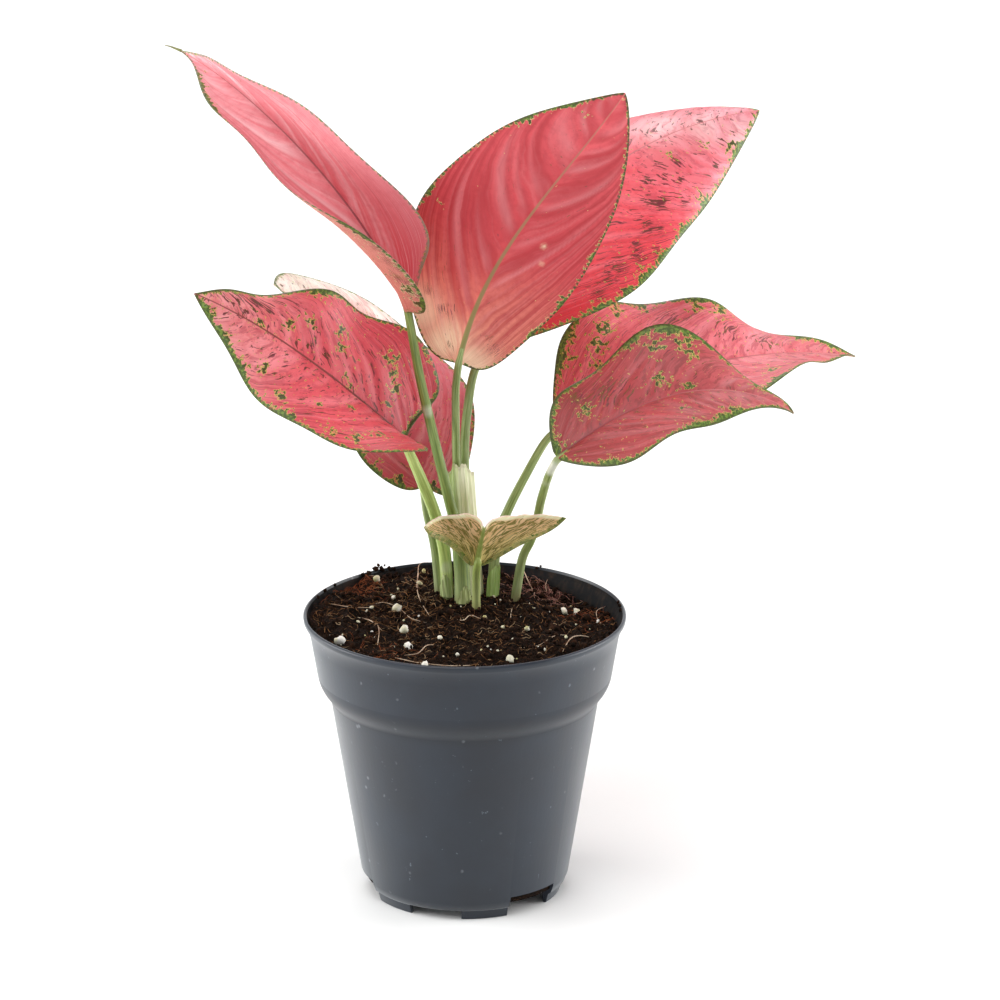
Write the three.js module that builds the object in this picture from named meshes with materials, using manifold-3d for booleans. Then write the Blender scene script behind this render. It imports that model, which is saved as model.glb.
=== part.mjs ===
// A potted red joy Chinese evergreen (Aglaonema): a stepped nursery pot, its peat, and eight leaves.
// Millimetres, +Z up. The pot is built around its own axis, with its feet on z = 0; the whole group
// is then moved so that the origin is the middle of its footprint. -Y is the front.
import * as THREE from "three";
import { mergeVertices } from "three/addons/utils/BufferGeometryUtils.js";
import Module from "manifold-3d";

// Pot: a moulded grower's pot, 120 mm across its lip
const RIM_RADIUS = 60;
const POT_HEIGHT = 108.2;
const LIP_RADIUS = 0.9;
const WALL = 1.3;
const FLARE_START = { radius: 57.2, z: 99.3 };
const FLARE_HANDLE = { radius: 57.9, z: 103.3 };
const FLARE_END = { radius: 59.8, z: 106.1 };
const COLLAR_FOOT = { radius: 54.9, z: 85.5 };
const SHOULDER = { radius: 49.9, z: 75.5 };
const SHOULDER_HANDLES = [{ radius: 50.6, z: 78 }, { radius: 54, z: 79.5 }];
const TAPER_FOOT = { radius: 38.8, z: 7.2 };
const CURVE_PIECES = 3;
const POT_SEGMENTS = 54;
const FLOOR_UNDERSIDE = 4.2;
const FLOOR_THICKNESS = 1.3;
const FLOOR_CORNER = 37.1;
const FLOOR_EDGE = { radius: 37.8, z: 4.5 };
const FOOT_RING = { inner: 34.2, treadInner: 34.4, treadOuter: 35.6, outer: 36.6, outerZ: 3.6 };
const FEET = 6;
const FOOT_SPAN = 28;
const FIRST_FOOT = 12;
const GAP_CUT = { inner: 30, outer: 42, top: 3.9, below: -1 };
const DRAIN_TOP = 8.5;

// Peat: nearly level, drawn up round the crown, heaped at the left and back left, sunk at the back right
const SOIL_LEVEL = 103.4;
const SOIL_GAP = 0.85;
const SOIL_HILLS = [
  { x: 0, y: 20, rise: 2.0, spread: 22 },
  { x: -52, y: 7, rise: 3.0, spread: 23 },
  { x: -22, y: 48, rise: 3.0, spread: 26 },
  { x: 46.7, y: 32.7, rise: -3.9, spread: 20 },
];
const SOIL_RINGS = [0.22, 0.42, 0.6, 0.76, 0.9, 1];
const SOIL_SPOKES = 30;
const SOIL_SIDE_DROP = 0.5;
const SOIL_FLOOR_GAP = 0.3;

// Leaves: sheet thickness, mesh density, and the seat that each stalk keeps above the peat
const BLADE_THICKNESS = 0.8;
const TIP_THINNING = 0.4;
const BLADE_ROWS = 18;
const BLADE_COLUMNS = 9;
const BLADE_HALF_WIDTH_AT_BASE = 1.5;
const BLADE_HALF_WIDTH_AT_TIP = 0.15;
const LOBE_REACH = 0.05;
const LOBE_POWER = 1.3;
const RIPPLE_POWER = 0.7;
const MIDRIB_STEPS = 400;
const MARGIN_SAMPLES = 600;
const STALK_SIDES = 8;
const STALK_STEP = 9;
const STALK_FEWEST_STEPS = 4;
const STALK_SEAT = 0.45;
const STALK_END_GAP = 0.75;

// Each leaf. Angles are degrees; heading, pitch, roll and fold are each given as [at the base, change
// towards the tip, extra bend]. Heading 0 is +X and 90 is +Y, pitch is the climb, roll turns the blade
// about its midrib. outline is [swell near the base, taper near the tip]. For each half of the blade:
// width is a factor, lobe is how far it reaches back past the stalk, fold is its angle to the flat,
// curl bends it from the midrib outwards, and ripple and phase shape the margin's wave.
const LEAVES = {
  upper_left: {
    base: [-20.6, 1.0, 224.8],
    length: 143,
    halfWidth: 29.7,
    outline: [0.66, 1.45],
    heading: [190, -91, 27],
    pitch: [70, -54, -12],
    roll: [-96, -25, 14],
    waves: 2.74,
    left: { width: 1.02, lobe: 4.4, fold: [85, -27, 0], curl: [43, -16], ripple: 2.3, phase: 49 },
    right: { width: 0.96, lobe: -8.6, fold: [20, -4, -5], curl: [0, -4], ripple: -1.7, phase: -86 },
    stalk: {
      foot: [-0.6, 18.6],
      route: [
        [-1.8, 17.0, 129.0],
        [-5.8, 13.0, 148.0],
        [-11.1, 7.0, 173.3],
        [-16.1, 3.5, 197.6],
        [-19.5, 1.0, 218.3],
      ],
      radii: [3.3, 2.0, 1.8, 1.5],
    },
    colour: 0xe8707a,
  },
  centre: {
    base: [-2.0, 4.0, 203.6],
    length: 129,
    halfWidth: 34,
    outline: [0.62, 0.81],
    heading: [-43, 28, 12],
    pitch: [76, -63, 43],
    roll: [-58, 11, 3],
    waves: 1.96,
    left: { width: 0.93, lobe: 5.3, fold: [17, -13, -5], curl: [-3, -13], ripple: -1.0, phase: -72 },
    right: { width: 1.06, lobe: 4.6, fold: [19, 4, -3], curl: [-1, 4], ripple: -1.6, phase: 67 },
    stalk: {
      foot: [-0.5, 27.2],
      route: [
        [-2.9, 24.0, 152.2],
        [-3.3, 12.0, 187.2],
        [-2.9, 8.0, 196.2],
      ],
      radii: [1.7, 1.6, 1.5, 1.4],
    },
    colour: 0xd5585f,
  },
  upper_right: {
    base: [8.3, 24.0, 204.8],
    length: 153,
    halfWidth: 40.6,
    outline: [0.64, 0.81],
    heading: [61, -42, -6],
    pitch: [53, -52, 3],
    roll: [4, 10, 3],
    waves: 1.65,
    left: { width: 1.0, lobe: 3.0, fold: [9, -7, -1], curl: [-11, -7], ripple: -0.3, phase: 3 },
    right: { width: 1.05, lobe: -0.8, fold: [4, -14, -3], curl: [-16, -14], ripple: 2.2, phase: 108 },
    stalk: {
      foot: [4.0, 28.5],
      route: [
        [0.4, 27.7, 143.3],
        [-0.1, 26.6, 163.3],
        [1.0, 25.2, 179.2],
        [3.5, 24.0, 194.3],
      ],
      radii: [2.1, 1.9, 1.7, 1.5],
    },
    colour: 0xe0626a,
  },
  left: {
    base: [-22.0, 8.0, 173.8],
    length: 99,
    halfWidth: 38.2,
    outline: [0.33, 1.02],
    heading: [194, -10, 7],
    pitch: [44, -2, -16],
    roll: [-6, -36, 23],
    waves: 2.6,
    left: { width: 1.12, lobe: 2.1, fold: [19, -33, 6], curl: [-1, -33], ripple: 1.4, phase: 31 },
    right: { width: 0.94, lobe: 7.5, fold: [34, -20, -5], curl: [14, -20], ripple: 3.2, phase: -56 },
    stalk: {
      foot: [-6.3, 25.5],
      route: [
        [-7.8, 22.5, 125.5],
        [-11.3, 19.5, 140.8],
        [-15.7, 15.5, 154.2],
        [-19.9, 12.0, 165.5],
      ],
      radii: [2.4, 2.3, 2.2, 1.6],
    },
    colour: 0xe2606c,
  },
  left_rear: {
    base: [-15.3, 30.0, 147.4],
    length: 98,
    halfWidth: 36.7,
    outline: [0.71, 0.45],
    heading: [114, 77, -9],
    pitch: [52, -15, 3],
    roll: [-1, 43, -33],
    waves: 1.97,
    left: { width: 1.0, lobe: 2.9, fold: [4, 5, 2], curl: [-13, 5], ripple: -3.7, phase: 32 },
    right: { width: 1.21, lobe: 9.6, fold: [22, -12, 12], curl: [2, -12], ripple: -1.7, phase: 99 },
    stalk: {
      foot: [-9.5, 29.6],
      route: [
        [-11.3, 29.5, 123.1],
        [-14.3, 29.7, 137.0],
      ],
      radii: [1.8, 1.7, 1.5, 1.4],
    },
    colour: 0xe9b3a6,
  },
  right_rear: {
    base: [35.5, 35.0, 169.0],
    length: 135,
    halfWidth: 35.3,
    outline: [0.49, 1.09],
    heading: [21, 22, -7],
    pitch: [28, -59, 15],
    roll: [61, -40, -6],
    waves: 2.82,
    left: { width: 1.03, lobe: -4.7, fold: [4, -22, 31], curl: [-3, -9], ripple: -4.6, phase: 42 },
    right: { width: 1.01, lobe: 1.4, fold: [40, -30, 15], curl: [11, -9], ripple: -3.5, phase: -49 },
    stalk: {
      foot: [9.8, 27.0],
      route: [
        [12.0, 28.5, 127.0],
        [16.1, 30.0, 138.4],
        [22.8, 32.0, 151.5],
        [29.9, 34.0, 163.8],
      ],
      radii: [2.2, 1.8, 1.65, 1.4],
    },
    colour: 0xe9757b,
  },
  right_front: {
    base: [33.8, 5.0, 167.0],
    length: 97,
    halfWidth: 28.2,
    outline: [0.68, 1.01],
    heading: [21, -17, -11],
    pitch: [33, -15, -53],
    roll: [10, -11, -9],
    waves: 1.82,
    left: { width: 0.99, lobe: -0.9, fold: [27, 0, -7], curl: [7, 0], ripple: -6.6, phase: -93 },
    right: { width: 1.01, lobe: -0.2, fold: [6, -3, 1], curl: [-14, -3], ripple: -2.3, phase: -2 },
    stalk: {
      foot: [18.4, 27.0],
      route: [
        [21.3, 25.5, 120.1],
        [24.7, 23.5, 128.7],
        [26.9, 21.0, 137.5],
        [28.4, 17.5, 146.5],
        [31.2, 10.0, 158.7],
      ],
      radii: [1.8, 1.65, 1.65, 1.4],
    },
    colour: 0xc9606a,
  },
  trimmed_front: {
    base: [4.2, 7.0, 123.7],
    length: 107,
    halfWidth: 32,
    outline: [0.54, 0.91],
    heading: [-71, -3, 2],
    pitch: [64, -12, 0],
    roll: [-6, 2, 5],
    waves: 1.67,
    cutAt: 0.194,
    left: { width: 1.1, lobe: -5.4, fold: [32, 0, 1], curl: [-29, 0], ripple: 0, phase: 0 },
    right: { width: 0.82, lobe: -7.0, fold: [63, -1, -1], curl: [-63, -1], ripple: 0, phase: 0 },
    stalk: {
      foot: [4.3, 12.5],
      route: [[4.2, 11.0, 113.3]],
      radii: [1.6, 1.6, 1.5, 1.4],
    },
    colour: 0xb9946f,
  },
};

// Papery sheaths: each is part of a tube around a stalk. arc is in degrees from the front, positive
// towards +X; heights run from the peat to the torn edge, whose two ends and middle are drop below it.
const SHEATHS = {
  crown_sheath: {
    foot: [1.7, 27.8, 107.1],
    head: [-1.9, 23.4, 160],
    radii: [5.0, 4.6],
    arc: [-115, 115],
    thickness: 0.5,
    tear: 12,
    rows: 10,
    columns: 17,
  },
  torn_sheath_left: {
    foot: [-6.3, 25.5, 107.1],
    head: [-6.9, 23.9, 116],
    radii: [3.1, 3.2],
    arc: [-60, 35],
    thickness: 0.4,
    tear: 5,
    rows: 4,
    columns: 9,
  },
  sheath_right: {
    foot: [9.8, 27.0, 106.8],
    head: [10.6, 27.5, 118],
    radii: [2.7, 2.6],
    arc: [-40, 110],
    thickness: 0.4,
    tear: 4,
    rows: 4,
    columns: 9,
  },
  bud_scale: {
    foot: [-0.6, 18.6, 107.3],
    head: [-0.7, 18.2, 113],
    radii: [3.7, 3.3],
    arc: [-30, 60],
    thickness: 0.4,
    tear: 5,
    rows: 4,
    columns: 9,
  },
};

const SHEATH_JAG = 0.12;
const SHEATH_JAGS = 9;

const DEGREE = Math.PI / 180;
const UP = new THREE.Vector3(0, 0, 1);

// The direction seen from above at an angle from the front, positive towards +X.
function fromFront(degrees) {
  return new THREE.Vector3(Math.sin(degrees * DEGREE), -Math.cos(degrees * DEGREE), 0);
}

// A closed skin over a grid of points: the front sheet, the back sheet, and the strip between their rims.
function closedSheet(front, back) {
  const rows = front.length;
  const columns = front[0].length;
  const positions = [...front.flat(), ...back.flat()].flatMap((p) => p.toArray());
  const at = (row, column) => row * columns + column;
  const behind = (row, column) => rows * columns + at(row, column);
  const faces = [];
  for (let row = 0; row + 1 < rows; row++) {
    for (let column = 0; column + 1 < columns; column++) {
      const corners = [[row, column], [row, column + 1], [row + 1, column + 1], [row + 1, column]];
      const [a, b, c, d] = corners.map(([r, k]) => at(r, k));
      const [e, f, g, h] = corners.map(([r, k]) => behind(r, k));
      faces.push(a, b, c, a, c, d, e, g, f, e, h, g);
    }
  }
  const rim = [];
  for (let column = 0; column < columns; column++) rim.push([0, column]);
  for (let row = 1; row < rows; row++) rim.push([row, columns - 1]);
  for (let column = columns - 2; column >= 0; column--) rim.push([rows - 1, column]);
  for (let row = rows - 2; row > 0; row--) rim.push([row, 0]);
  rim.forEach(([row, column], i) => {
    const [nextRow, nextColumn] = rim[(i + 1) % rim.length];
    const a = at(row, column);
    const b = at(nextRow, nextColumn);
    const c = behind(nextRow, nextColumn);
    const d = behind(row, column);
    faces.push(b, a, d, b, d, c);
  });
  return geometryOf(positions, faces);
}

function geometryOf(positions, faces) {
  const geometry = new THREE.BufferGeometry();
  geometry.setAttribute("position", new THREE.Float32BufferAttribute(positions, 3));
  geometry.setIndex(faces);
  return geometry;
}

// The two sheets either side of a middle surface, apart along its normals; the last rows may be thinner.
function thicken(middle, thickness, thinRows = 0) {
  const last = middle.length - 1;
  const clampedAt = (row, column) =>
    middle[Math.min(Math.max(row, 0), last)][Math.min(Math.max(column, 0), middle[0].length - 1)];
  const shifted = (side) =>
    middle.map((points, row) =>
      points.map((point, column) => {
        const along = clampedAt(row + 1, column).clone().sub(clampedAt(row - 1, column));
        const across = clampedAt(row, column + 1).clone().sub(clampedAt(row, column - 1));
        const normal = across.cross(along).normalize();
        const share = row > last - thinRows ? TIP_THINNING : 1;
        return point.clone().addScaledVector(normal, (side * thickness * share) / 2);
      }),
    );
  return [shifted(1), shifted(-1)];
}

// The pot's wall, floor and foot ring as one turned profile, closed on the axis at both ends.
function potProfile() {
  const outer = new THREE.Path();
  outer.moveTo(TAPER_FOOT.radius, TAPER_FOOT.z);
  outer.lineTo(SHOULDER.radius, SHOULDER.z);
  const [low, high] = SHOULDER_HANDLES;
  outer.bezierCurveTo(low.radius, low.z, high.radius, high.z, COLLAR_FOOT.radius, COLLAR_FOOT.z);
  outer.lineTo(FLARE_START.radius, FLARE_START.z);
  outer.quadraticCurveTo(FLARE_HANDLE.radius, FLARE_HANDLE.z, FLARE_END.radius, FLARE_END.z);
  const lipCentre = POT_HEIGHT - LIP_RADIUS;
  outer.lineTo(RIM_RADIUS, lipCentre);
  const wall = outer.getPoints(CURVE_PIECES);
  const lip = new THREE.Path();
  lip.absarc(RIM_RADIUS - LIP_RADIUS, lipCentre, LIP_RADIUS, 0, Math.PI / 2, false);
  const rim = lip.getPoints(CURVE_PIECES - 1).slice(1);
  const floorTop = FLOOR_UNDERSIDE + FLOOR_THICKNESS;
  const inside = wall.map((point) => new THREE.Vector2(point.x - WALL, point.y)).reverse();
  return [
    new THREE.Vector2(0, FLOOR_UNDERSIDE),
    new THREE.Vector2(FOOT_RING.inner, FLOOR_UNDERSIDE),
    new THREE.Vector2(FOOT_RING.treadInner, 0),
    new THREE.Vector2(FOOT_RING.treadOuter, 0),
    new THREE.Vector2(FOOT_RING.outer, FOOT_RING.outerZ),
    new THREE.Vector2(FLOOR_EDGE.radius, FLOOR_EDGE.z),
    ...wall,
    ...rim,
    ...inside,
    new THREE.Vector2(FLOOR_CORNER, floorTop),
    new THREE.Vector2(0, floorTop),
  ];
}

// The radius of the pot's inside face at a height above the floor.
function insideRadius(z) {
  const profile = potProfile();
  const top = Math.max(...profile.map((point) => point.y));
  const inside = profile.slice(profile.findIndex((point) => point.y === top));
  for (let i = 0; i + 1 < inside.length; i++) {
    const [a, b] = [inside[i], inside[i + 1]];
    if (z <= a.y && z >= b.y && a.y > b.y) return b.x + ((a.x - b.x) * (z - b.y)) / (a.y - b.y);
  }
  return FLOOR_CORNER;
}

// A wedge of a ring, standing on its lower face: what is cut out between two feet.
function ringWedge(middle, span, inner, outer, bottom, top) {
  const start = (middle - 90 - span / 2) * DEGREE;
  const end = (middle - 90 + span / 2) * DEGREE;
  const shape = new THREE.Shape();
  shape.absarc(0, 0, outer, start, end, false);
  shape.absarc(0, 0, inner, end, start, true);
  const wedge = new THREE.ExtrudeGeometry(shape, { depth: top - bottom, bevelEnabled: false, curveSegments: 6 });
  return wedge.translate(0, 0, bottom);
}

function nurseryPot(wasm) {
  const lathe = new THREE.LatheGeometry(potProfile(), POT_SEGMENTS);
  lathe.rotateX(Math.PI / 2);
  let pot = solidOf(wasm, lathe);
  const between = 360 / FEET;
  for (let gap = 0; gap < FEET; gap++) {
    const middle = FIRST_FOOT + between * (gap + 0.5);
    const isDrain = gap % 2 === 0;
    const top = isDrain ? DRAIN_TOP : GAP_CUT.top;
    const wedge = ringWedge(middle, between - FOOT_SPAN, GAP_CUT.inner, GAP_CUT.outer, GAP_CUT.below, top);
    pot = pot.subtract(solidOf(wasm, wedge));
  }
  const made = pot.getMesh();
  return geometryOf(made.vertProperties, Array.from(made.triVerts));
}

function solidOf(wasm, geometry) {
  geometry.deleteAttribute("normal");
  geometry.deleteAttribute("uv");
  const merged = mergeVertices(geometry, 1e-3);
  const mesh = new wasm.Mesh({
    numProp: 3,
    vertProperties: merged.attributes.position.array,
    triVerts: new Uint32Array(merged.index.array),
  });
  return new wasm.Manifold(mesh);
}

// The height of the peat's top above the pot's axis frame.
function soilTop(x, y) {
  return SOIL_HILLS.reduce((height, hill) => {
    const away = Math.hypot(x - hill.x, y - hill.y) / hill.spread;
    return height + hill.rise * Math.exp(-away * away);
  }, SOIL_LEVEL);
}

// The peat: its uneven top in rings, the side that follows the pot's inside, and a flat bottom.
function soil() {
  const bottom = FLOOR_UNDERSIDE + FLOOR_THICKNESS + SOIL_FLOOR_GAP;
  const levels = [FLARE_START.z - SOIL_SIDE_DROP, COLLAR_FOOT.z, SHOULDER.z, TAPER_FOOT.z, bottom];
  const positions = [0, 0, soilTop(0, 0)];
  const faces = [];
  const spoke = (k) => fromFront((360 * k) / SOIL_SPOKES);
  const rings = [];
  const addRing = (pointAt) => {
    rings.push(positions.length / 3);
    for (let k = 0; k < SOIL_SPOKES; k++) positions.push(...pointAt(spoke(k)));
  };
  const levelRadius = insideRadius(SOIL_LEVEL);
  for (const share of SOIL_RINGS) {
    addRing((way) => {
      const height = soilTop(way.x * levelRadius, way.y * levelRadius);
      const radius = (insideRadius(height) - SOIL_GAP) * share;
      return [way.x * radius, way.y * radius, soilTop(way.x * radius, way.y * radius)];
    });
  }
  for (const z of levels) {
    const radius = insideRadius(z) - SOIL_GAP;
    addRing((way) => [way.x * radius, way.y * radius, z]);
  }
  const centreBottom = positions.length / 3;
  positions.push(0, 0, bottom);
  for (let k = 0; k < SOIL_SPOKES; k++) {
    const next = (k + 1) % SOIL_SPOKES;
    faces.push(0, rings[0] + k, rings[0] + next);
    for (let i = 0; i + 1 < rings.length; i++) {
      const [a, b] = [rings[i], rings[i + 1]];
      faces.push(a + k, b + k, b + next, a + k, b + next, a + next);
    }
    const last = rings[rings.length - 1];
    faces.push(centreBottom, last + next, last + k);
  }
  return geometryOf(positions, faces);
}

// A quantity that changes along the leaf, in radians.
function bend([start, change, extra], v) {
  return (start + change * v + extra * v * v) * DEGREE;
}

// Walks the midrib once in short steps, and gives the point and the directions at any share v of its length.
function midribOf(leaf) {
  const wayAt = (v) => {
    const heading = bend(leaf.heading, v);
    const pitch = bend(leaf.pitch, v);
    return new THREE.Vector3(
      Math.cos(pitch) * Math.cos(heading),
      Math.cos(pitch) * Math.sin(heading),
      Math.sin(pitch),
    );
  };
  const path = [new THREE.Vector3(...leaf.base)];
  for (let i = 0; i < MIDRIB_STEPS; i++) {
    path.push(path[i].clone().addScaledVector(wayAt((i + 0.5) / MIDRIB_STEPS), leaf.length / MIDRIB_STEPS));
  }
  return (v) => {
    const i = Math.min(Math.floor(v * MIDRIB_STEPS), MIDRIB_STEPS - 1);
    const point = path[i].clone().lerp(path[i + 1], v * MIDRIB_STEPS - i);
    const along = wayAt(v);
    const level = UP.clone().cross(along).normalize();
    const raised = along.clone().cross(level);
    const roll = bend(leaf.roll, v);
    const across = level.clone().multiplyScalar(Math.cos(roll)).addScaledVector(raised, Math.sin(roll));
    const above = raised.clone().multiplyScalar(Math.cos(roll)).addScaledVector(level, -Math.sin(roll));
    return { point, along, across, above };
  };
}

// Half the blade's width at v, which is greatest at widest and nothing at both ends.
function halfWidthAt(leaf, v) {
  const [swell, taper] = leaf.outline;
  const widest = swell / (swell + taper);
  return leaf.halfWidth * (v / widest) ** swell * ((1 - v) / (1 - widest)) ** taper;
}

// The shares v of the length at which the blade has its rows: evenly spaced along its margin.
function bladeRows(leaf) {
  const [swell, taper] = leaf.outline;
  const widest = swell / (swell + taper);
  const first = widest * (BLADE_HALF_WIDTH_AT_BASE / leaf.halfWidth) ** (1 / swell);
  const tip = 1 - (1 - widest) * (BLADE_HALF_WIDTH_AT_TIP / leaf.halfWidth) ** (1 / taper);
  const last = Math.min(leaf.cutAt ?? 1, tip);
  const shares = Array.from({ length: MARGIN_SAMPLES + 1 }, (_, i) => {
    const eased = (1 - Math.cos((Math.PI * i) / MARGIN_SAMPLES)) / 2;
    return first + (last - first) * eased;
  });
  const margin = [0];
  for (let i = 1; i <= MARGIN_SAMPLES; i++) {
    const run = (shares[i] - shares[i - 1]) * leaf.length;
    const rise = halfWidthAt(leaf, shares[i]) - halfWidthAt(leaf, shares[i - 1]);
    margin.push(margin[i - 1] + Math.hypot(run, rise));
  }
  return Array.from({ length: BLADE_ROWS }, (_, row) => {
    const wanted = (margin[MARGIN_SAMPLES] * row) / (BLADE_ROWS - 1);
    const i = margin.findIndex((length) => length >= wanted - 1e-9);
    return shares[i];
  });
}

// A point of the blade's middle surface: u runs from -1 at the right margin to 1 at the left one.
function bladePoint(leaf, frame, v, u) {
  const half = u < 0 ? leaf.right : leaf.left;
  const out = Math.abs(u);
  const { point, along, across, above } = frame;
  const reach = half.lobe * (v / LOBE_REACH) * Math.exp(1 - v / LOBE_REACH) * out ** LOBE_POWER;
  const width = halfWidthAt(leaf, v) * half.width * out;
  const tilt = bend(half.fold, v) + (half.curl[0] + half.curl[1] * v) * out * DEGREE;
  const envelope = out ** 2 * Math.max(Math.sin(Math.PI * v), 0) ** RIPPLE_POWER;
  const wave = half.ripple * Math.sin(2 * Math.PI * leaf.waves * v + half.phase * DEGREE) * envelope;
  return point
    .clone()
    .addScaledVector(along, -reach)
    .addScaledVector(across, Math.sign(u) * width * Math.cos(tilt))
    .addScaledVector(above, width * Math.sin(tilt) + wave);
}

function blade(leaf) {
  const midrib = midribOf(leaf);
  const middle = bladeRows(leaf).map((v) => {
    const frame = midrib(v);
    return Array.from({ length: BLADE_COLUMNS }, (_, column) => {
      const u = 1 - (2 * column) / (BLADE_COLUMNS - 1);
      return bladePoint(leaf, frame, v, u);
    });
  });
  const [above, below] = thicken(middle, BLADE_THICKNESS, leaf.cutAt ? 0 : 1);
  return closedSheet(above, below);
}

// A stalk: a round tube that follows its route from the peat to just short of the blade.
function stalk(leaf) {
  const { foot, route, radii } = leaf.stalk;
  const base = new THREE.Vector3(...leaf.base);
  const footPoint = new THREE.Vector3(...foot, soilTop(...foot) + STALK_SEAT);
  const lastTurn = new THREE.Vector3(...route[route.length - 1]);
  const end = base.clone().addScaledVector(base.clone().sub(lastTurn).normalize(), -STALK_END_GAP);
  const points = [footPoint, ...route.map((p) => new THREE.Vector3(...p)), end];
  const curve = new THREE.CatmullRomCurve3(points, false, "centripetal");
  const steps = Math.max(STALK_FEWEST_STEPS, Math.round(curve.getLength() / STALK_STEP));
  const positions = [];
  const faces = [];
  for (let i = 0; i <= steps; i++) {
    const share = i / steps;
    const centre = curve.getPointAt(share);
    const way = curve.getTangentAt(share);
    const side = new THREE.Vector3(1, 0, 0).addScaledVector(way, -way.x).normalize();
    const front = way.clone().cross(side);
    const place = share * (radii.length - 1);
    const piece = Math.min(Math.floor(place), radii.length - 2);
    const radius = THREE.MathUtils.lerp(radii[piece], radii[piece + 1], place - piece);
    for (let k = 0; k < STALK_SIDES; k++) {
      const angle = (2 * Math.PI * k) / STALK_SIDES;
      const across = side.clone().multiplyScalar(Math.cos(angle) * radius);
      across.addScaledVector(front, Math.sin(angle) * radius);
      if (i === 0) across.z = 0;
      positions.push(...centre.clone().add(across).toArray());
    }
  }
  const capStart = positions.length / 3;
  positions.push(...curve.getPointAt(0).toArray(), ...curve.getPointAt(1).toArray());
  const lastRing = steps * STALK_SIDES;
  for (let k = 0; k < STALK_SIDES; k++) {
    const next = (k + 1) % STALK_SIDES;
    for (let i = 0; i < steps; i++) {
      const a = i * STALK_SIDES;
      const b = a + STALK_SIDES;
      faces.push(a + k, a + next, b + next, a + k, b + next, b + k);
    }
    faces.push(capStart, next, k, capStart + 1, lastRing + k, lastRing + next);
  }
  return geometryOf(positions, faces);
}

// A sheath: part of a tube that leans with its stalk, lower at both sides and torn along the top.
function sheath({ foot, head, radii, arc, thickness, tear, rows, columns }) {
  const from = new THREE.Vector3(...foot);
  const to = new THREE.Vector3(...head);
  const grid = [];
  for (let row = 0; row <= rows; row++) {
    const line = [];
    for (let column = 0; column < columns; column++) {
      const turn = column / (columns - 1);
      const out = Math.abs(2 * turn - 1);
      const jag = SHEATH_JAG * Math.sin(SHEATH_JAGS * turn * Math.PI);
      const height = (row / rows) * (1 - (tear / to.distanceTo(from)) * (out ** 2 + jag));
      const radius = THREE.MathUtils.lerp(radii[0], radii[1], height) + thickness / 2;
      const way = fromFront(THREE.MathUtils.lerp(arc[0], arc[1], turn));
      line.push(from.clone().lerp(to, height).addScaledVector(way, radius));
    }
    grid.push(line);
  }
  const [outside, inside] = thicken(grid, thickness);
  return closedSheet(outside, inside);
}

function piece(name, geometry, colour, roughness) {
  const material = new THREE.MeshStandardMaterial({ color: colour, roughness, metalness: 0 });
  const mesh = new THREE.Mesh(geometry, material);
  mesh.name = name;
  return mesh;
}

const wasm = await Module();
wasm.setup();

const group = new THREE.Group();
group.add(piece("nursery_pot", nurseryPot(wasm), 0x454b55, 0.45));
group.add(piece("soil", soil(), 0x3a2a22, 0.95));
for (const [name, leaf] of Object.entries(LEAVES)) {
  group.add(piece("blade_" + name, blade(leaf), leaf.colour, 0.4));
  group.add(piece("stalk_" + name, stalk(leaf), 0x6f8a45, 0.5));
}
for (const [name, shape] of Object.entries(SHEATHS)) {
  group.add(piece(name, sheath(shape), 0xc9cfa0, 0.6));
}
const footprint = new THREE.Box3().setFromObject(group);
const middle = footprint.getCenter(new THREE.Vector3());
group.position.set(-middle.x, -middle.y, -footprint.min.z);

export default group;
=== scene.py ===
import math

import bmesh
import bpy
import numpy as np
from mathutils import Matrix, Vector, noise


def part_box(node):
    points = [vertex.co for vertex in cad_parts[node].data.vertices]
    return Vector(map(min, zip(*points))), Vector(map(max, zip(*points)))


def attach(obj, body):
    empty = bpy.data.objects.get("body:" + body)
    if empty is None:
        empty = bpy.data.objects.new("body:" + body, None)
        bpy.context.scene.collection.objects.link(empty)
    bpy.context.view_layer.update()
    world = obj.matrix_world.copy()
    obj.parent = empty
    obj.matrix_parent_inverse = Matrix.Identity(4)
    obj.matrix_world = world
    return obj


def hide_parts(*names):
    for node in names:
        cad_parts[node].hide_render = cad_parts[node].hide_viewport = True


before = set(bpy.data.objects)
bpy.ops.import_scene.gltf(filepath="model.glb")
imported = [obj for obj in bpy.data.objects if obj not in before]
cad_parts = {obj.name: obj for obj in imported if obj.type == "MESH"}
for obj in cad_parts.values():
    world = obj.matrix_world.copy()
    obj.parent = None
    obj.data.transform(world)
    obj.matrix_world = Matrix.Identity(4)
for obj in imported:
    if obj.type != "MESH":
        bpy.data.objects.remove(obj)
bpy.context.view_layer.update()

# The picture. A long lens looks down on the peat, so that the pot's lip is a flat ellipse, and the
# light is a white studio's: bright from every side, with large soft boxes overhead and at both sides.
MM = 0.001
pot_low, pot_high = (np.array(corner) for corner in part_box("nursery_pot"))
POT_AXIS = np.array([(pot_low[0] + pot_high[0]) / 2, (pot_low[1] + pot_high[1]) / 2, 0])


def placed(points):
    """Millimetres from the foot of the pot's axis, as metres in the frame."""
    return np.asarray(points, float) * MM + POT_AXIS


def srgb(code):
    """The linear colour of a hex code such as "#e8606e"."""
    shares = [int(code[i:i + 2], 16) / 255 for i in (1, 3, 5)]
    return [s / 12.92 if s <= 0.04045 else ((s + 0.055) / 1.055) ** 2.4 for s in shares] + [1.0]


def wire(tree, made, inputs):
    """Sets a node's inputs: each is a value, a socket, or a node whose first output feeds it."""
    for key, value in inputs.items():
        if isinstance(value, bpy.types.Node):
            value = value.outputs[0]
        if isinstance(value, bpy.types.NodeSocket):
            tree.links.new(value, made.inputs[key])
        else:
            made.inputs[key].default_value = value


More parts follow.
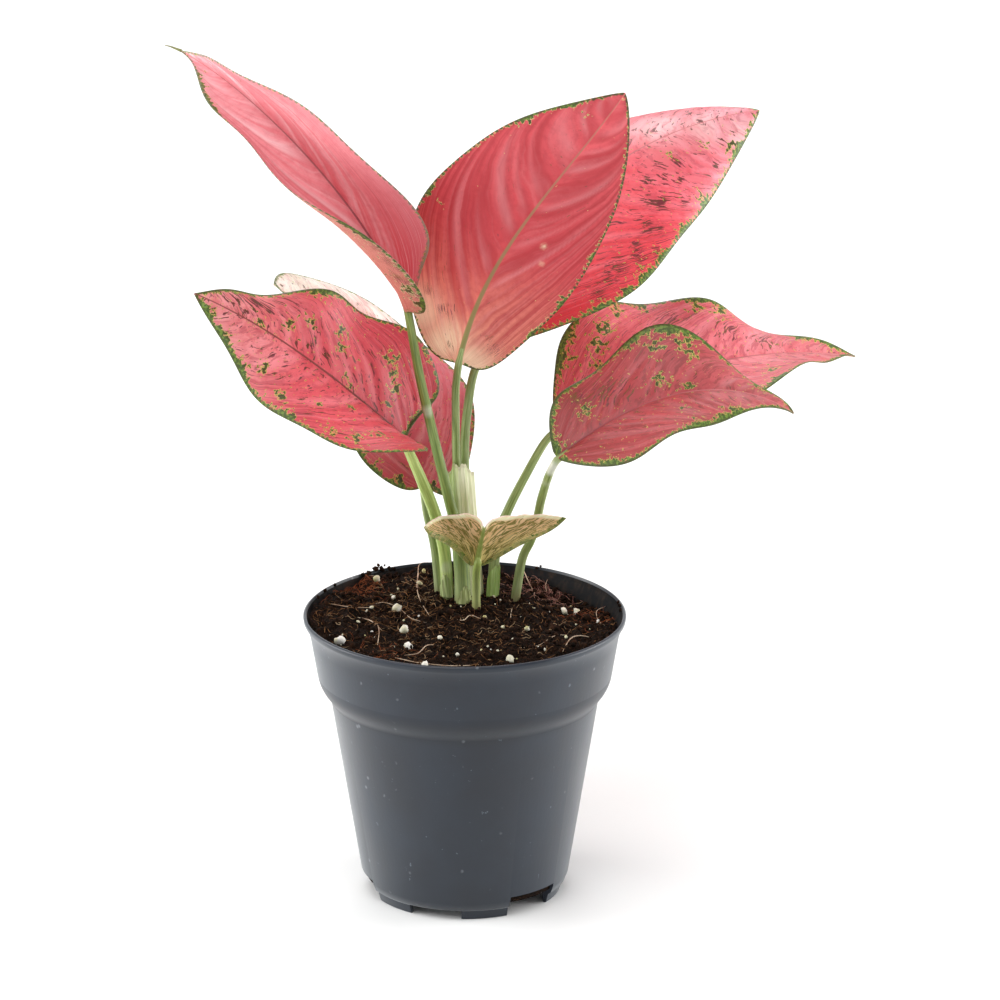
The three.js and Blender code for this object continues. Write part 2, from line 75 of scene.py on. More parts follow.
def node(tree, kind, inputs, **settings):
    """Adds one shader node with its settings and links."""
    made = tree.nodes.new("ShaderNode" + kind)
    for key, value in settings.items():
        setattr(made, key, value)
    wire(tree, made, inputs)
    return made


def fresh_material(name, settings):
    """A material, its node tree and its surface shader, whose own sockets take the settings."""
    made = bpy.data.materials.new(name)
    made.use_nodes = True
    surface = made.node_tree.nodes["Principled BSDF"]
    wire(made.node_tree, surface, settings)
    return made, made.node_tree, surface


CAMERA_TARGET = (13.1, 0, 152.3)
CAMERA_DISTANCE = 2400
CAMERA_RISE = math.radians(18.4)
camera = bpy.data.objects.new("camera", bpy.data.cameras.new("camera"))
camera.data.lens = 234
camera.data.sensor_width = 36
camera.data.clip_end = 20
camera.location = placed(CAMERA_TARGET) + CAMERA_DISTANCE * MM * np.array(
    [0, -math.cos(CAMERA_RISE), math.sin(CAMERA_RISE)]
)
camera.rotation_euler = (math.pi / 2 - CAMERA_RISE, 0, 0)
bpy.context.collection.objects.link(camera)
bpy.context.scene.camera = camera
bpy.context.scene.view_settings.view_transform = "Standard"

WORLD_WHITE = 0.42
world = bpy.data.worlds.new("studio")
world.use_nodes = True
sky = world.node_tree.nodes["Background"]
wire(world.node_tree, sky, {"Color": srgb("#ffffff"), "Strength": WORLD_WHITE})
bpy.context.scene.world = world

# name: place in metres from the pot, size across in metres, watts
SOFT_BOXES = {
    "left_side": ((-1.5, 0.1, 0.35), 1.1, 26),
    "right_side": ((1.6, 0.2, 0.35), 1.1, 30),
    "behind_above": ((-0.2, 1.5, 1.5), 1.2, 12),
}
MIDDLE_OF_PLANT = 0.16
for name, (spot, across, watts) in SOFT_BOXES.items():
    lamp = bpy.data.objects.new(name, bpy.data.lights.new(name, "AREA"))
    lamp.data.size = across
    lamp.data.energy = watts
    lamp.location = Vector(spot) + Vector(POT_AXIS)
    aim = Vector(POT_AXIS) + Vector((0, 0, MIDDLE_OF_PLANT)) - lamp.location
    lamp.rotation_euler = aim.to_track_quat("-Z", "Y").to_euler()
    bpy.context.collection.objects.link(lamp)
OVERHEAD_STRENGTH = 1.65
OVERHEAD_SPREAD = 50
OVERHEAD_TILT = (28, -16, 0)
overhead = bpy.data.objects.new("overhead", bpy.data.lights.new("overhead", "SUN"))
overhead.data.energy = OVERHEAD_STRENGTH
overhead.data.angle = math.radians(OVERHEAD_SPREAD)
overhead.rotation_euler = [math.radians(tilt) for tilt in OVERHEAD_TILT]
bpy.context.collection.objects.link(overhead)

# Matt white paper, which throws even light back up at the plant
FLOOR_REACH = 6
floor_mesh = bpy.data.meshes.new("floor")
floor_mesh.from_pydata(
    [(x * FLOOR_REACH, y * FLOOR_REACH, 0) for x, y in ((-1, -1), (1, -1), (1, 1), (-1, 1))],
    [],
    [(0, 1, 2, 3)],
)
floor = bpy.data.objects.new("floor", floor_mesh)
paper = fresh_material("white_paper_sweep", {"Base Color": srgb("#f6f6f5"), "Roughness": 0.9})
floor_mesh.materials.append(paper[0])
bpy.context.collection.objects.link(floor)

# Nursery pot: thin moulded polypropylene, dark slate. The collar stands out from the wall over a
# rounded shoulder, the lip is rolled, and six feet with drain slots between them are moulded below.
# Profiles are given as (radius, height), in millimetres.
RIM_RADIUS = 60
POT_HEIGHT = 108.2
LIP_RADIUS = 0.9
WALL = 1.3
WALL_FOOT = (38.8, 7.2)
SHOULDER = [(49.9, 75.5), (50.6, 78), (54, 79.5), (54.9, 85.5)]
FLARE = [(57.2, 99.3), (57.9, 103.3), (59.8, 106.1)]
FOOT_RING = [
    (0, 4.2), (34.2, 4.2), (34.4, 0.25), (34.6, 0), (35.4, 0), (35.7, 0.25), (36.6, 3.6), (37.8, 4.5),
]
POT_FLOOR = [(37.1, 5.5), (0, 5.5)]
POT_SPOKES = 216
CURVE_STEPS = 12
FOOT_GAPS = 6
FOOT_SPAN = 28
FIRST_FOOT = 12
GAP_RADII = (30, 42)
GAP_BELOW = -1
GAP_TOP = 3.9
DRAIN_TOP = 8.5


def bezier(points, steps):
    """Points along a Bezier curve of any degree, the first one left out."""
    line = []
    for share in np.linspace(0, 1, steps + 1)[1:]:
        level = [np.array(p, float) for p in points]
        while len(level) > 1:
            level = [a + (b - a) * share for a, b in zip(level, level[1:])]
        line.append(tuple(level[0]))
    return line


def mesh_piece(name, vertices, faces, material, replaced=()):
    """A smooth mesh in the scene, in metres, that rides with the plant."""
    mesh = bpy.data.meshes.new(name)
    mesh.from_pydata([tuple(v) for v in vertices], [], [tuple(int(i) for i in f) for f in faces])
    mesh.polygons.foreach_set("use_smooth", [True] * len(mesh.polygons))
    mesh.materials.append(material)
    piece = bpy.data.objects.new(name, mesh)
    bpy.context.collection.objects.link(piece)
    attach(piece, "root")
    if replaced:
        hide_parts(*replaced)
    return piece


def lathed(profile, spokes):
    """Vertices in millimetres and faces of a profile turned about the pot's axis."""
    vertices, faces, rings = [], [], []
    for radius, z in profile:
        if radius == 0:
            rings.append([len(vertices)] * spokes)
            vertices.append((0, 0, z))
            continue
        rings.append(list(range(len(vertices), len(vertices) + spokes)))
        for k in range(spokes):
            turn = 2 * math.pi * k / spokes
            vertices.append((radius * math.sin(turn), -radius * math.cos(turn), z))
    for lower, upper in zip(rings, rings[1:]):
        for k in range(spokes):
            m = (k + 1) % spokes
            corners = [lower[k], lower[m], upper[m], upper[k]]
            faces.append([c for i, c in enumerate(corners) if c not in corners[:i]])
    return vertices, faces


def pot_profile():
    """The moulding's section, from the middle of its underside over the lip to the middle of its floor."""
    wall = [WALL_FOOT, SHOULDER[0], *bezier(SHOULDER, CURVE_STEPS), FLARE[0], *bezier(FLARE, CURVE_STEPS)]
    wall.append((RIM_RADIUS, POT_HEIGHT - LIP_RADIUS))
    lip = []
    for step in range(1, CURVE_STEPS + 1):
        turn = math.pi / 2 * step / CURVE_STEPS
        reach = RIM_RADIUS - LIP_RADIUS + LIP_RADIUS * math.cos(turn)
        lip.append((reach, POT_HEIGHT - LIP_RADIUS + LIP_RADIUS * math.sin(turn)))
    inside = [(radius - WALL, z) for radius, z in reversed(wall)]
    return FOOT_RING + wall + lip + inside + POT_FLOOR


def foot_cutters():
    """The wedges cut out between the feet, in one mesh; every second one is a drain slot in the wall."""
    vertices, faces = [], []
    between = 360 / FOOT_GAPS
    for gap in range(FOOT_GAPS):
        middle = FIRST_FOOT + between * (gap + 0.5)
        span = between - FOOT_SPAN
        start = len(vertices)
        for i in range(CURVE_STEPS + 1):
            turn = math.radians(middle - span / 2 + span * i / CURVE_STEPS)
            for radius in GAP_RADII:
                for z in (GAP_BELOW, DRAIN_TOP if gap % 2 == 0 else GAP_TOP):
                    vertices.append((radius * math.sin(turn), -radius * math.cos(turn), z))
        for i in range(CURVE_STEPS):
            a, b = start + 4 * i, start + 4 * (i + 1)
            for p, q in ((0, 1), (1, 3), (3, 2), (2, 0)):
                faces.append((a + p, b + p, b + q, a + q))
        last = start + 4 * CURVE_STEPS
        faces.append((start, start + 1, start + 3, start + 2))
        faces.append((last, last + 2, last + 3, last + 1))
    return vertices, faces


def layered(tree, values, steps, layers, colour, smoothing="LINEAR"):
    """Works out named values in turn, then lays tones over a first colour by them.

    A step is (name, value, from low, from high, to low, to high), which maps one range to another, by
    itself 0 to 1, or (name, "ADD" or "MULTIPLY", first, second). A layer is (its share, its tone)."""
    for name, *rule in steps:
        if rule[0] in ("ADD", "MULTIPLY"):
            first, second = (values.get(part, part) for part in rule[1:])
            values[name] = node(tree, "Math", {0: first, 1: second}, operation=rule[0])
        else:
            inputs = dict(zip(("Value", "From Min", "From Max", "To Min", "To Max"), rule))
            inputs["Value"] = values[rule[0]]
            values[name] = node(tree, "MapRange", inputs, interpolation_type=smoothing)
    for share, tone in layers:
        tone = srgb(tone) if isinstance(tone, str) else tone
        colour = node(tree, "MixRGB", {"Fac": values[share], "Color1": colour, "Color2": tone})
    return colour


def polypropylene(name, bloom):
    """Moulded polypropylene, pale towards its sides: faint draw lines, a little dry dust and painted shade
    under the collar.
    """
    settings = {"IOR": 1.49, "Sheen Weight": bloom, "Sheen Roughness": 0.4, "Sheen Tint": srgb("#dfe5e8")}
    material, tree, surface = fresh_material(name, settings)
    place = node(tree, "TexCoord", {}).outputs["Object"]
    drawn = node(tree, "VectorMath", {0: place, 1: (900, 900, 45)}, operation="MULTIPLY")
    values = {
        "lines": node(tree, "TexNoise", {"Vector": drawn, "Scale": 1, "Detail": 3}),
        "dust": node(tree, "TexVoronoi", {"Vector": place, "Scale": 210, "Randomness": 1}),
        "height": node(tree, "SeparateXYZ", {0: place}).outputs["Z"],
    }
    # Scales are counts to the metre: 26 mm clouds, 1.4 mm grit, 8 mm groups of dust and 3 mm smears
    for key, scale, detail, rough in (
        ("clouds", 38, 4, 0.5), ("grit", 700, 2, 0.5), ("rare", 120, 1, 0.5), ("smears", 300, 3, 0.6),
    ):
        inputs = {"Vector": place, "Scale": scale, "Detail": detail, "Roughness": rough}
        values[key] = node(tree, "TexNoise", inputs)
    steps = [
        ("cloudy", "clouds", 0.35, 0.65),
        ("speck", "dust", 0.2, 0.08),
        ("seldom", "rare", 0.6, 0.68),
        ("dusty", "MULTIPLY", "speck", "seldom"),
        ("dusted", "MULTIPLY", "dusty", 0.5),
        ("smeared", "smears", 0.7, 0.74, 0, 0.45),
        # The band under the collar, about 73 to 86 mm up, is painted shade against the floor's bounce light.
        ("above_step", "height", 0.086, 0.082),
        ("below_step", "height", 0.073, 0.077),
        ("step", "MULTIPLY", "above_step", "below_step"),
        ("shaded_step", "MULTIPLY", "step", 0.35),
        ("gloss", "clouds", 0.3, 0.7, 0.34, 0.46),
        ("relief", "ADD", "lines", "grit"),
    ]
    # The last, near-black layer is that painted shade under the collar.
    layers = [("cloudy", "#1a2431"), ("dusted", "#8d9299"), ("smeared", "#76838f"), ("shaded_step", "#0b0d12")]
    colour = layered(tree, values, steps, layers, srgb("#121a26"))
    bump = node(tree, "Bump", {"Height": values["relief"], "Strength": 0.25, "Distance": 0.05 * MM})
    wire(tree, surface, {"Base Color": colour, "Roughness": values["gloss"], "Normal": bump})
    return material


slate = polypropylene("slate_polypropylene", 0.55)
pot_vertices, pot_faces = lathed(pot_profile(), POT_SPOKES)
pot = mesh_piece("pot_moulding", placed(pot_vertices), pot_faces, slate, ["nursery_pot"])
cutter_vertices, cutter_faces = foot_cutters()
cutter_mesh = bpy.data.meshes.new("foot_gaps")
cutter_mesh.from_pydata([tuple(v) for v in placed(cutter_vertices)], [], cutter_faces)
outward = bmesh.new()
outward.from_mesh(cutter_mesh)
bmesh.ops.recalc_face_normals(outward, faces=outward.faces)
outward.to_mesh(cutter_mesh)
outward.free()
cutter = bpy.data.objects.new("foot_gaps", cutter_mesh)
bpy.context.collection.objects.link(cutter)
cut = pot.modifiers.new("feet", "BOOLEAN")
cut.operation = "DIFFERENCE"
cut.solver = "EXACT"
cut.object = cutter
bpy.context.view_layer.update()
cut_pot = bpy.data.meshes.new_from_object(pot.evaluated_get(bpy.context.evaluated_depsgraph_get()))
pot.modifiers.clear()
pot.data = cut_pot
bpy.data.objects.remove(cutter)
pot.data.set_sharp_from_angle(angle=math.radians(35))

# Inside of the pot: a near-black tone that is painted shade, under a dry brown peat film in downward
# streaks; the film takes the gloss off the inside.
shaded_and_stained, inside_tree, inside_surface = fresh_material(
    "shaded_peat_stained_polypropylene", {"Roughness": 0.75, "Specular IOR Level": 0.2}
)
inside_place = node(inside_tree, "TexCoord", {}).outputs["Object"]
streaky = node(inside_tree, "VectorMath", {0: inside_place, 1: (400, 400, 90)}, operation="MULTIPLY")
film = {"smears": node(inside_tree, "TexNoise", {"Vector": streaky, "Scale": 1, "Detail": 4})}
# The near-black ground, #101114, is painted shade; the brown streaks laid over it are peat stain.
shade_and_film_tone = layered(
    inside_tree, film, [("filmed", "smears", 0.45, 0.7)], [("filmed", "#2b221c")], srgb("#101114")
)
wire(inside_tree, inside_surface, {"Base Color": shade_and_film_tone})

# Under the collar a copy of the plastic with less sheen, and so darker, is painted shade: it takes out
# the bright band that light from the floor throws on the shoulder.
shaded = polypropylene("slate_polypropylene_shaded_under_collar", 0.25)
SHADE_AND_STAIN_HEIGHTS = (0.02, 0.1068)
UNDER_COLLAR = (0.0757, 0.0852)
pot.data.materials.append(shaded_and_stained)
pot.data.materials.append(shaded)
for face in pot.data.polygons:
    outwards = Vector((face.center.x - POT_AXIS[0], face.center.y - POT_AXIS[1], 0))
    # Faces on the inside of the wall take the near-black painted shade with its peat stain.
    if SHADE_AND_STAIN_HEIGHTS[0] < face.center.z < SHADE_AND_STAIN_HEIGHTS[1] and face.normal.dot(outwards) < 0:
        face.material_index = 1
    # Faces under the collar take that copy, as painted shade.
    elif UNDER_COLLAR[0] < face.center.z < UNDER_COLLAR[1]:
        face.material_index = 2

# Peat: dark fibrous coir and peat, lumpy and open, nearly level with the lip, drawn up a little round
# the crown and sunk at the back right. It fills the pot down to its floor.
SOIL_LEVEL = 103.4
# x, y, rise and spread of each swelling of the surface
SOIL_HILLS = [(0, 20, 2.0, 22), (-52, 7, 3.0, 23), (-22, 48, 3.0, 26), (46.7, 32.7, -3.9, 20)]
SOIL_RINGS = 110
SOIL_SPOKES = 360
SOIL_EDGE = 56.6
SOIL_TOP_GAP = 0.5
SOIL_SIDE_GAP = 0.35
SOIL_EDGE_DROP = 1.2
SOIL_SIDE_HEIGHTS = (98.8, 85.5, 75.5, 7.2, 5.8)
# size and rise of the lumps
SOIL_LUMPS = ((10, 1.6), (4, 1.3), (1.8, 0.9))
random = np.random.default_rng(7)


def soil_top(x, y):
    """The height of the even surface under the lumps."""
    height = SOIL_LEVEL
    for hill_x, hill_y, rise, spread in SOIL_HILLS:
        height = height + rise * np.exp(-((x - hill_x) ** 2 + (y - hill_y) ** 2) / spread ** 2)
    return height


def soil_height(x, y):
    """The height of the surface with its lumps."""
    height = float(soil_top(x, y))
    for size, rise in SOIL_LUMPS:
        height += rise * noise.noise(Vector((x / size, y / size, size)))
    return height


def inside_radius(z):
    """The radius of the pot's inside face at a height."""
    radii, heights = zip(WALL_FOOT, SHOULDER[0], SHOULDER[-1], *FLARE)
    return float(np.interp(z, heights, radii)) - WALL


def peat():
    """Peat: matt and dark, its colour broken up by paler fibre and damp near-black hollows."""
    material, tree, surface = fresh_material("damp_peat", {"Roughness": 0.88, "Specular IOR Level": 0.1})
    place = node(tree, "TexCoord", {}).outputs["Object"]
    # Counts to the metre: 4 mm clods and 0.7 mm grain
    values = {
        "clods": node(tree, "TexNoise", {"Vector": place, "Scale": 260, "Detail": 6, "Roughness": 0.65}),
        "grain": node(tree, "TexNoise", {"Vector": place, "Scale": 1500, "Detail": 3}),
    }
    steps = [
        ("fibrous", "clods", 0.38, 0.66),
        ("flecked", "grain", 0.6, 0.72, 0, 0.4),
        ("relief", "ADD", "clods", "grain"),
    ]
    layers = [("fibrous", "#1d0f06"), ("flecked", "#7a5a42")]
    colour = layered(tree, values, steps, layers, srgb("#070301"))
    bump = node(tree, "Bump", {"Height": values["relief"], "Strength": 0.8, "Distance": 0.6 * MM})
    wire(tree, surface, {"Base Color": colour, "Normal": bump})
    return material


def soil_body():
    """The peat's lumpy top, its side a little inside the pot's wall, and its flat underside."""
    vertices, faces, rings = [(0, 0, soil_height(0, 0))], [], []
    turns = [2 * math.pi * k / SOIL_SPOKES for k in range(SOIL_SPOKES)]
    for ring in range(1, SOIL_RINGS + 1):
        share = math.sqrt(ring / SOIL_RINGS) if ring < SOIL_RINGS else 1
        rings.append(len(vertices))
        for turn in turns:
            way = np.array([math.sin(turn), -math.cos(turn)])
            edge = inside_radius(float(soil_top(*(way * SOIL_EDGE)))) - SOIL_TOP_GAP
            x, y = way * edge * share
            height = soil_height(x, y) if ring < SOIL_RINGS else float(soil_top(x, y)) - SOIL_EDGE_DROP
            vertices.append((x, y, height))
    for z in SOIL_SIDE_HEIGHTS:
        rings.append(len(vertices))
        radius = inside_radius(z) - SOIL_SIDE_GAP
        vertices += [(radius * math.sin(turn), -radius * math.cos(turn), z) for turn in turns]
    for k in range(SOIL_SPOKES):
        m = (k + 1) % SOIL_SPOKES
        faces.append((0, rings[0] + k, rings[0] + m))
        for a, b in zip(rings, rings[1:]):
            faces.append((a + k, b + k, b + m, a + m))
    faces.append([rings[-1] + k for k in reversed(range(SOIL_SPOKES))])
    return vertices, faces


soil_vertices, soil_faces = soil_body()
mesh_piece("peat_body", placed(soil_vertices), soil_faces, peat(), ["soil"])

# What lies in and on the peat: loose crumbs, coir fibres, thin root threads and bits of perlite. Two
# patches are thick with fibre: a rust-red one at the back left and pink roots on the slope at the back
# right. The crumbs and fibres are scattered with a fixed seed; perlite and long roots are listed.
CRUMBS = 2600
CRUMB_SIZES = (0.5, 3.2)
SPREAD_RADIUS = 56.5
FIBRE_STEPS = 7
FIBRE_SWAY = 0.35
FIBRE_LIFT = (0.15, 0.6)
LIFTED_END = 0.9
FIBRE_RADII = (0.06, 0.15)
ROOT_RADII = (0.11, 0.21)
# x, y, how far they scatter, how many, shortest and longest, kind
FIBRE_PATCHES = [
    (0, 4, 36, 1000, 1.5, 5, "fibre_tan"),
    (-30, 10, 18, 260, 2, 7, "fibre_tan"),
    (0, 0, 36, 170, 2, 6, "fibre_pale"),
    (-42, 38, 6, 150, 4, 14, "fibre_rust"),
    (30, 44, 7, 170, 4, 13, "root_pink"),
    (-30, -34, 7, 40, 3, 8, "fibre_rust"),
    (-14, 30, 10, 60, 4, 12, "fibre_pale"),
    (47, 10, 5, 60, 3, 8, "fibre_rust"),
]
# x, y and the size across
PERLITE = [
    (-27, 23, 2.6), (-33.3, 38, 3.2), (-15.7, 47.8, 2.6), (-17.3, 36.4, 3), (-22.4, -10.3, 4),
    (-20.7, -25.7, 3.6), (-25.3, 10, 3.6), (14.2, -4.6, 2), (18.7, 31.5, 3.8), (10.8, 24.4, 1.9),
    (23.1, -6.1, 2.6), (29.6, -27.7, 1.6), (16.8, -40.7, 3.4), (-14.3, -47.7, 3.6), (-9.7, -49.7, 2.6),
    (37.1, 18, 3.6), (41.9, 14.1, 3.9), (-34.7, 11.8, 2), (-9, -18.2, 1.8), (37.5, -16.7, 1.8),
    (-46, -22, 4.2), (49.6, 4.7, 2), (7.4, 4.2, 2.2), (12, -32.5, 2), (-2.5, -33, 1.5),
    (39, -38, 2.8), (31.5, -44.5, 2), (50, -20.5, 1.6), (25, 14.5, 1.7), (-39.5, -2.5, 1.6),
]
# x, y, and the height over the peat
ROOT_THREADS = [
    [(-14, 53.5, 3.4), (-17.4, 51, 2.6), (-17.9, 44.6, 0.5), (-18.1, 31.3, 0.4), (-16.9, 21.4, 0.6),
     (-14.5, 11.8, 0.3), (-13, 5.2, 0.2)],
    [(-3.6, 2.2, 0.3), (-0.5, 0.5, 0.6), (1.9, 4, 0.7), (5.5, 4.3, 0.6), (8.3, -0.6, 0.2)],
    [(36, -29.7, 0.3), (39, -21, 1.2), (42.6, -14, 1.3), (47, -12.1, 0.2)],
    [(52.7, 21.6, 2.6), (49.2, 14.8, 1), (49.8, 7, 0.8), (52, -2.4, 0.2)],
    [(-34.8, 16.5, 0.2), (-29.8, 13.5, 0.8), (-24.2, 9.5, 1), (-20, 2, 0.7), (-14.2, 0.5, 0.2)],
    [(-40, 2.5, 0.3), (-34.8, -2.5, 1), (-30.5, -9.5, 0.3)],
    [(-32.5, -4, 0.3), (-31.6, -13, 1.1), (-32, -25, 0.2)],
    [(-22, -36, 0.3), (-17, -33.5, 0.9), (-13.6, -26, 0.8), (-9, -22.5, 0.2)],
    [(-37, 45, 0.4), (-33.5, 43.5, 1.2), (-31, 35, 0.3)],
    [(-50, 12, 0.3), (-42, 10.5, 1), (-34, 12, 0.2)],
    [(33, 52.5, 3.8), (30.5, 46, 1.8), (31, 38, 0.4)],
    [(22, 52.5, 3), (24, 45.5, 1.4), (26.5, 36, 0.4)],
    [(17, 2, 0.3), (17.2, 9, 1), (17.6, 17.5, 0.3)],
    [(-26, -38, 0.3), (-16, -44, 0.9), (-4, -46.5, 0.8), (6, -44, 0.2)],
    [(20, -25, 0.2), (27, -22, 0.8), (33, -13.5, 0.9), (38, -8, 0.2)],
]
# Crumbs heaped on the far rim: x, y, z and the size across
RIM_CRUMBS = [
    (-36.5, 45.5, 108, 2.6), (-34, 47.5, 108.9, 2.4), (-31.5, 49, 108.4, 2.8),
    (-29, 50.5, 108.3, 2.2), (-33, 48, 110.4, 1.5), (-38.5, 44, 107.7, 2.2),
    (-27, 51.5, 107.7, 2), (-30.5, 49.5, 109.8, 1.2), (27, 52, 108, 1.5),
    (28.5, 51, 108.9, 1.2), (57.6, 8.5, 108, 1.8), (57.9, 3, 108.2, 1.4),
    (57.2, 12.5, 108, 1.5), (-52.5, 26, 107.8, 1.9), (-55, 18.5, 107.9, 1.6),
    (-49, 32.5, 107.9, 1.7),
]


def smooth_route(points, step):
    """A Catmull-Rom line through given points, with even steps in millimetres."""
    points = np.array(points, float)
    ends = [2 * points[0] - points[1], *points, 2 * points[-1] - points[-2]]
    line = [points[0]]
    for a, b, c, d in zip(ends, ends[1:], ends[2:], ends[3:]):
        for t in np.linspace(0, 1, 13)[1:]:
            line.append(0.5 * (2 * b + (c - a) * t + (2 * a - 5 * b + 4 * c - d) * t ** 2
                               + (3 * b - a - 3 * c + d) * t ** 3))
    line = np.array(line)
    run = np.concatenate([[0], np.cumsum(np.linalg.norm(np.diff(line, axis=0), axis=1))])
    places = np.linspace(0, run[-1], max(4, int(run[-1] / step)))
    return np.stack([np.interp(places, run, line[:, i]) for i in range(3)], -1)


def tube(line, radii, sides):
    """Vertices and faces of a closed round tube along a line, with one radius for each of its points."""
    way = np.gradient(line, axis=0)
    way /= np.linalg.norm(way, axis=1)[:, None]
    side = np.zeros_like(way)
    side[0] = np.cross(way[0], (0, 1, 0))
    for i in range(len(line)):
        previous = side[max(i - 1, 0)]
        side[i] = previous - way[i] * (previous @ way[i])
        side[i] /= np.linalg.norm(side[i])
    front = np.cross(way, side)
    turn = 2 * np.pi * np.arange(sides) / sides
    ring = side[:, None] * np.cos(turn)[None, :, None] + front[:, None] * np.sin(turn)[None, :, None]
    vertices = (line[:, None] + ring * np.asarray(radii)[:, None, None]).reshape(-1, 3)
    at = np.arange(len(vertices)).reshape(-1, sides)
    after = np.roll(at, -1, axis=1)
    walls = np.stack([at[:-1], after[:-1], after[1:], at[1:]], -1).reshape(-1, 4)
    faces = [tuple(f) for f in walls] + [tuple(at[0][::-1]), tuple(at[-1])]
    return vertices, faces


def lumps(places, sizes, facets, rough):
    """Rough little solids, each turned and stretched at random, as one mesh's vertices and faces."""
    ball = bmesh.new()
    bmesh.ops.create_icosphere(ball, subdivisions=facets, radius=0.5)
    shape = np.array([tuple(v.co) for v in ball.verts])
    shell = np.array([[v.index for v in f.verts] for f in ball.faces])
    ball.free()
    vertices, faces = [], []
    for number, (place, size) in enumerate(zip(places, sizes)):
        turned = np.linalg.qr(random.normal(size=(3, 3)))[0]
        stretched = shape * random.uniform(0.6, 1.2, 3)
        stretched = stretched * random.uniform(1 - rough, 1 + rough, (len(shape), 1))
        vertices.append(stretched @ turned * size + place)
        faces.append((shell if np.linalg.det(turned) > 0 else shell[:, ::-1]) + number * len(shape))
    return np.concatenate(vertices), np.concatenate(faces)


def threads(lines, radii, sides):
    """Thin tubes along several lines, drawn in to a point at both ends, as one mesh."""
    vertices, faces = [], []
    for line, radius in zip(lines, radii):
        ends = np.interp(np.linspace(0, 1, len(line)), [0, 0.15, 0.85, 1], [0.3, 1, 1, 0.3])
        tube_vertices, tube_faces = tube(line, radius * ends, sides)
        start = sum(len(v) for v in vertices)
        vertices.append(tube_vertices)
        faces += [tuple(i + start for i in face) for face in tube_faces]
    return np.concatenate(vertices), faces


def fibre(x, y, length):
    """A fibre that lies on the peat, bent to and fro, with one end often lifted."""
    turn = random.uniform(0, 2 * math.pi)
    sway = random.normal(0, FIBRE_SWAY, FIBRE_STEPS)
    lift = random.uniform(*FIBRE_LIFT)
    lift = lift + random.choice([0, LIFTED_END], p=[0.7, 0.3]) * np.linspace(0, 1, FIBRE_STEPS) ** 2
    line = []
    for step in range(FIBRE_STEPS):
        line.append((x, y, soil_height(x, y) + lift[step]))
        turn += sway[step]
        x += math.cos(turn) * length / FIBRE_STEPS
        y += math.sin(turn) * length / FIBRE_STEPS
        away = math.hypot(x, y)
        if away > SPREAD_RADIUS:
            x, y = x * SPREAD_RADIUS / away, y * SPREAD_RADIUS / away
    return np.array(line)


def plain_fibre(name, dark, light, roughness, patch):
    """Dry fibre or thread, matt, its tone changing from one to the next."""
    settings = {"Roughness": roughness, "Specular IOR Level": 0.12}
    material, tree, surface = fresh_material(name, settings)
    place = node(tree, "TexCoord", {}).outputs["Object"]
    values = {"tone": node(tree, "TexNoise", {"Vector": place, "Scale": 1 / patch, "Detail": 3})}
    steps = [("lighter", "tone", 0.36, 0.64)]
    colour = layered(tree, values, steps, [("lighter", light)], srgb(dark))
    wire(tree, surface, {"Base Color": colour})
    return material


away = SPREAD_RADIUS * np.sqrt(random.uniform(0, 1, CRUMBS))
turns = random.uniform(0, 2 * math.pi, CRUMBS)
crumb_sizes = np.clip(random.lognormal(0.1, 0.45, CRUMBS), *CRUMB_SIZES)
crumb_spots = np.array([
    (r * math.sin(t), -r * math.cos(t), soil_height(r * math.sin(t), -r * math.cos(t)) + 0.15 * size)
    for r, t, size in zip(away, turns, crumb_sizes)
])
rim_crumbs = np.array(RIM_CRUMBS)
crumb_mesh = lumps(np.vstack([crumb_spots, rim_crumbs[:, :3]]), [*crumb_sizes, *rim_crumbs[:, 3]], 1, 0.3)
crumb_skin = plain_fibre("peat_crumb", "#090401", "#301c0f", 0.9, 2.4 * MM)
mesh_piece("peat_crumbs", placed(crumb_mesh[0]), crumb_mesh[1], crumb_skin)

FIBRE_SKINS = {
    "fibre_tan": plain_fibre("coir_fibre", "#35200f", "#8c6644", 0.8, 3 * MM),
    "fibre_pale": plain_fibre("pale_straw_fibre", "#6a523b", "#ab9272", 0.75, 3 * MM),
    "fibre_rust": plain_fibre("rust_red_coir", "#45200f", "#8f5030", 0.8, 3 * MM),
    "root_pink": plain_fibre("pink_brown_root", "#5a322c", "#b28a7c", 0.7, 3 * MM),
}
for kind, skin in FIBRE_SKINS.items():
    lines = []
    for patch_x, patch_y, spread, count, shortest, longest, patch_kind in FIBRE_PATCHES:
        if patch_kind != kind:
            continue
        for _ in range(count):
            x, y = random.normal((patch_x, patch_y), spread)
            if math.hypot(x, y) < SPREAD_RADIUS:
                lines.append(fibre(x, y, random.uniform(shortest, longest)))
    fibre_mesh = threads(lines, random.uniform(*FIBRE_RADII, len(lines)), 4)
    mesh_piece(kind, placed(fibre_mesh[0]), fibre_mesh[1], skin)

root_lines = [
    smooth_route([(x, y, soil_height(x, y) + rise) for x, y, rise in line], 0.9) for line in ROOT_THREADS
]
root_mesh = threads(root_lines, random.uniform(*ROOT_RADII, len(root_lines)), 7)
root_skin = plain_fibre("pale_root_thread", "#9c7f68", "#dcc7ae", 0.6, 4 * MM)
mesh_piece("root_threads", placed(root_mesh[0]), root_mesh[1], root_skin)

SMALL_BITS = 70
SMALL_SIZES = (0.6, 1.3)
bits = random.uniform(-1, 1, (SMALL_BITS, 2)) * 50
small_bits = [(x, y, random.uniform(*SMALL_SIZES)) for x, y in bits if math.hypot(x, y) < 52]
perlite_spots = np.array([
    (x, y, max(soil_height(x, y), float(soil_top(x, y)) - 0.3) + 0.3 * size)
    for x, y, size in PERLITE + small_bits
])
perlite_mesh = lumps(perlite_spots, [0.85 * size for _, _, size in PERLITE + small_bits], 2, 0.24)
perlite_skin = plain_fibre("expanded_perlite", "#b9b47e", "#f1efe8", 0.85, 5 * MM)
mesh_piece("perlite", placed(perlite_mesh[0]), perlite_mesh[1], perlite_skin)

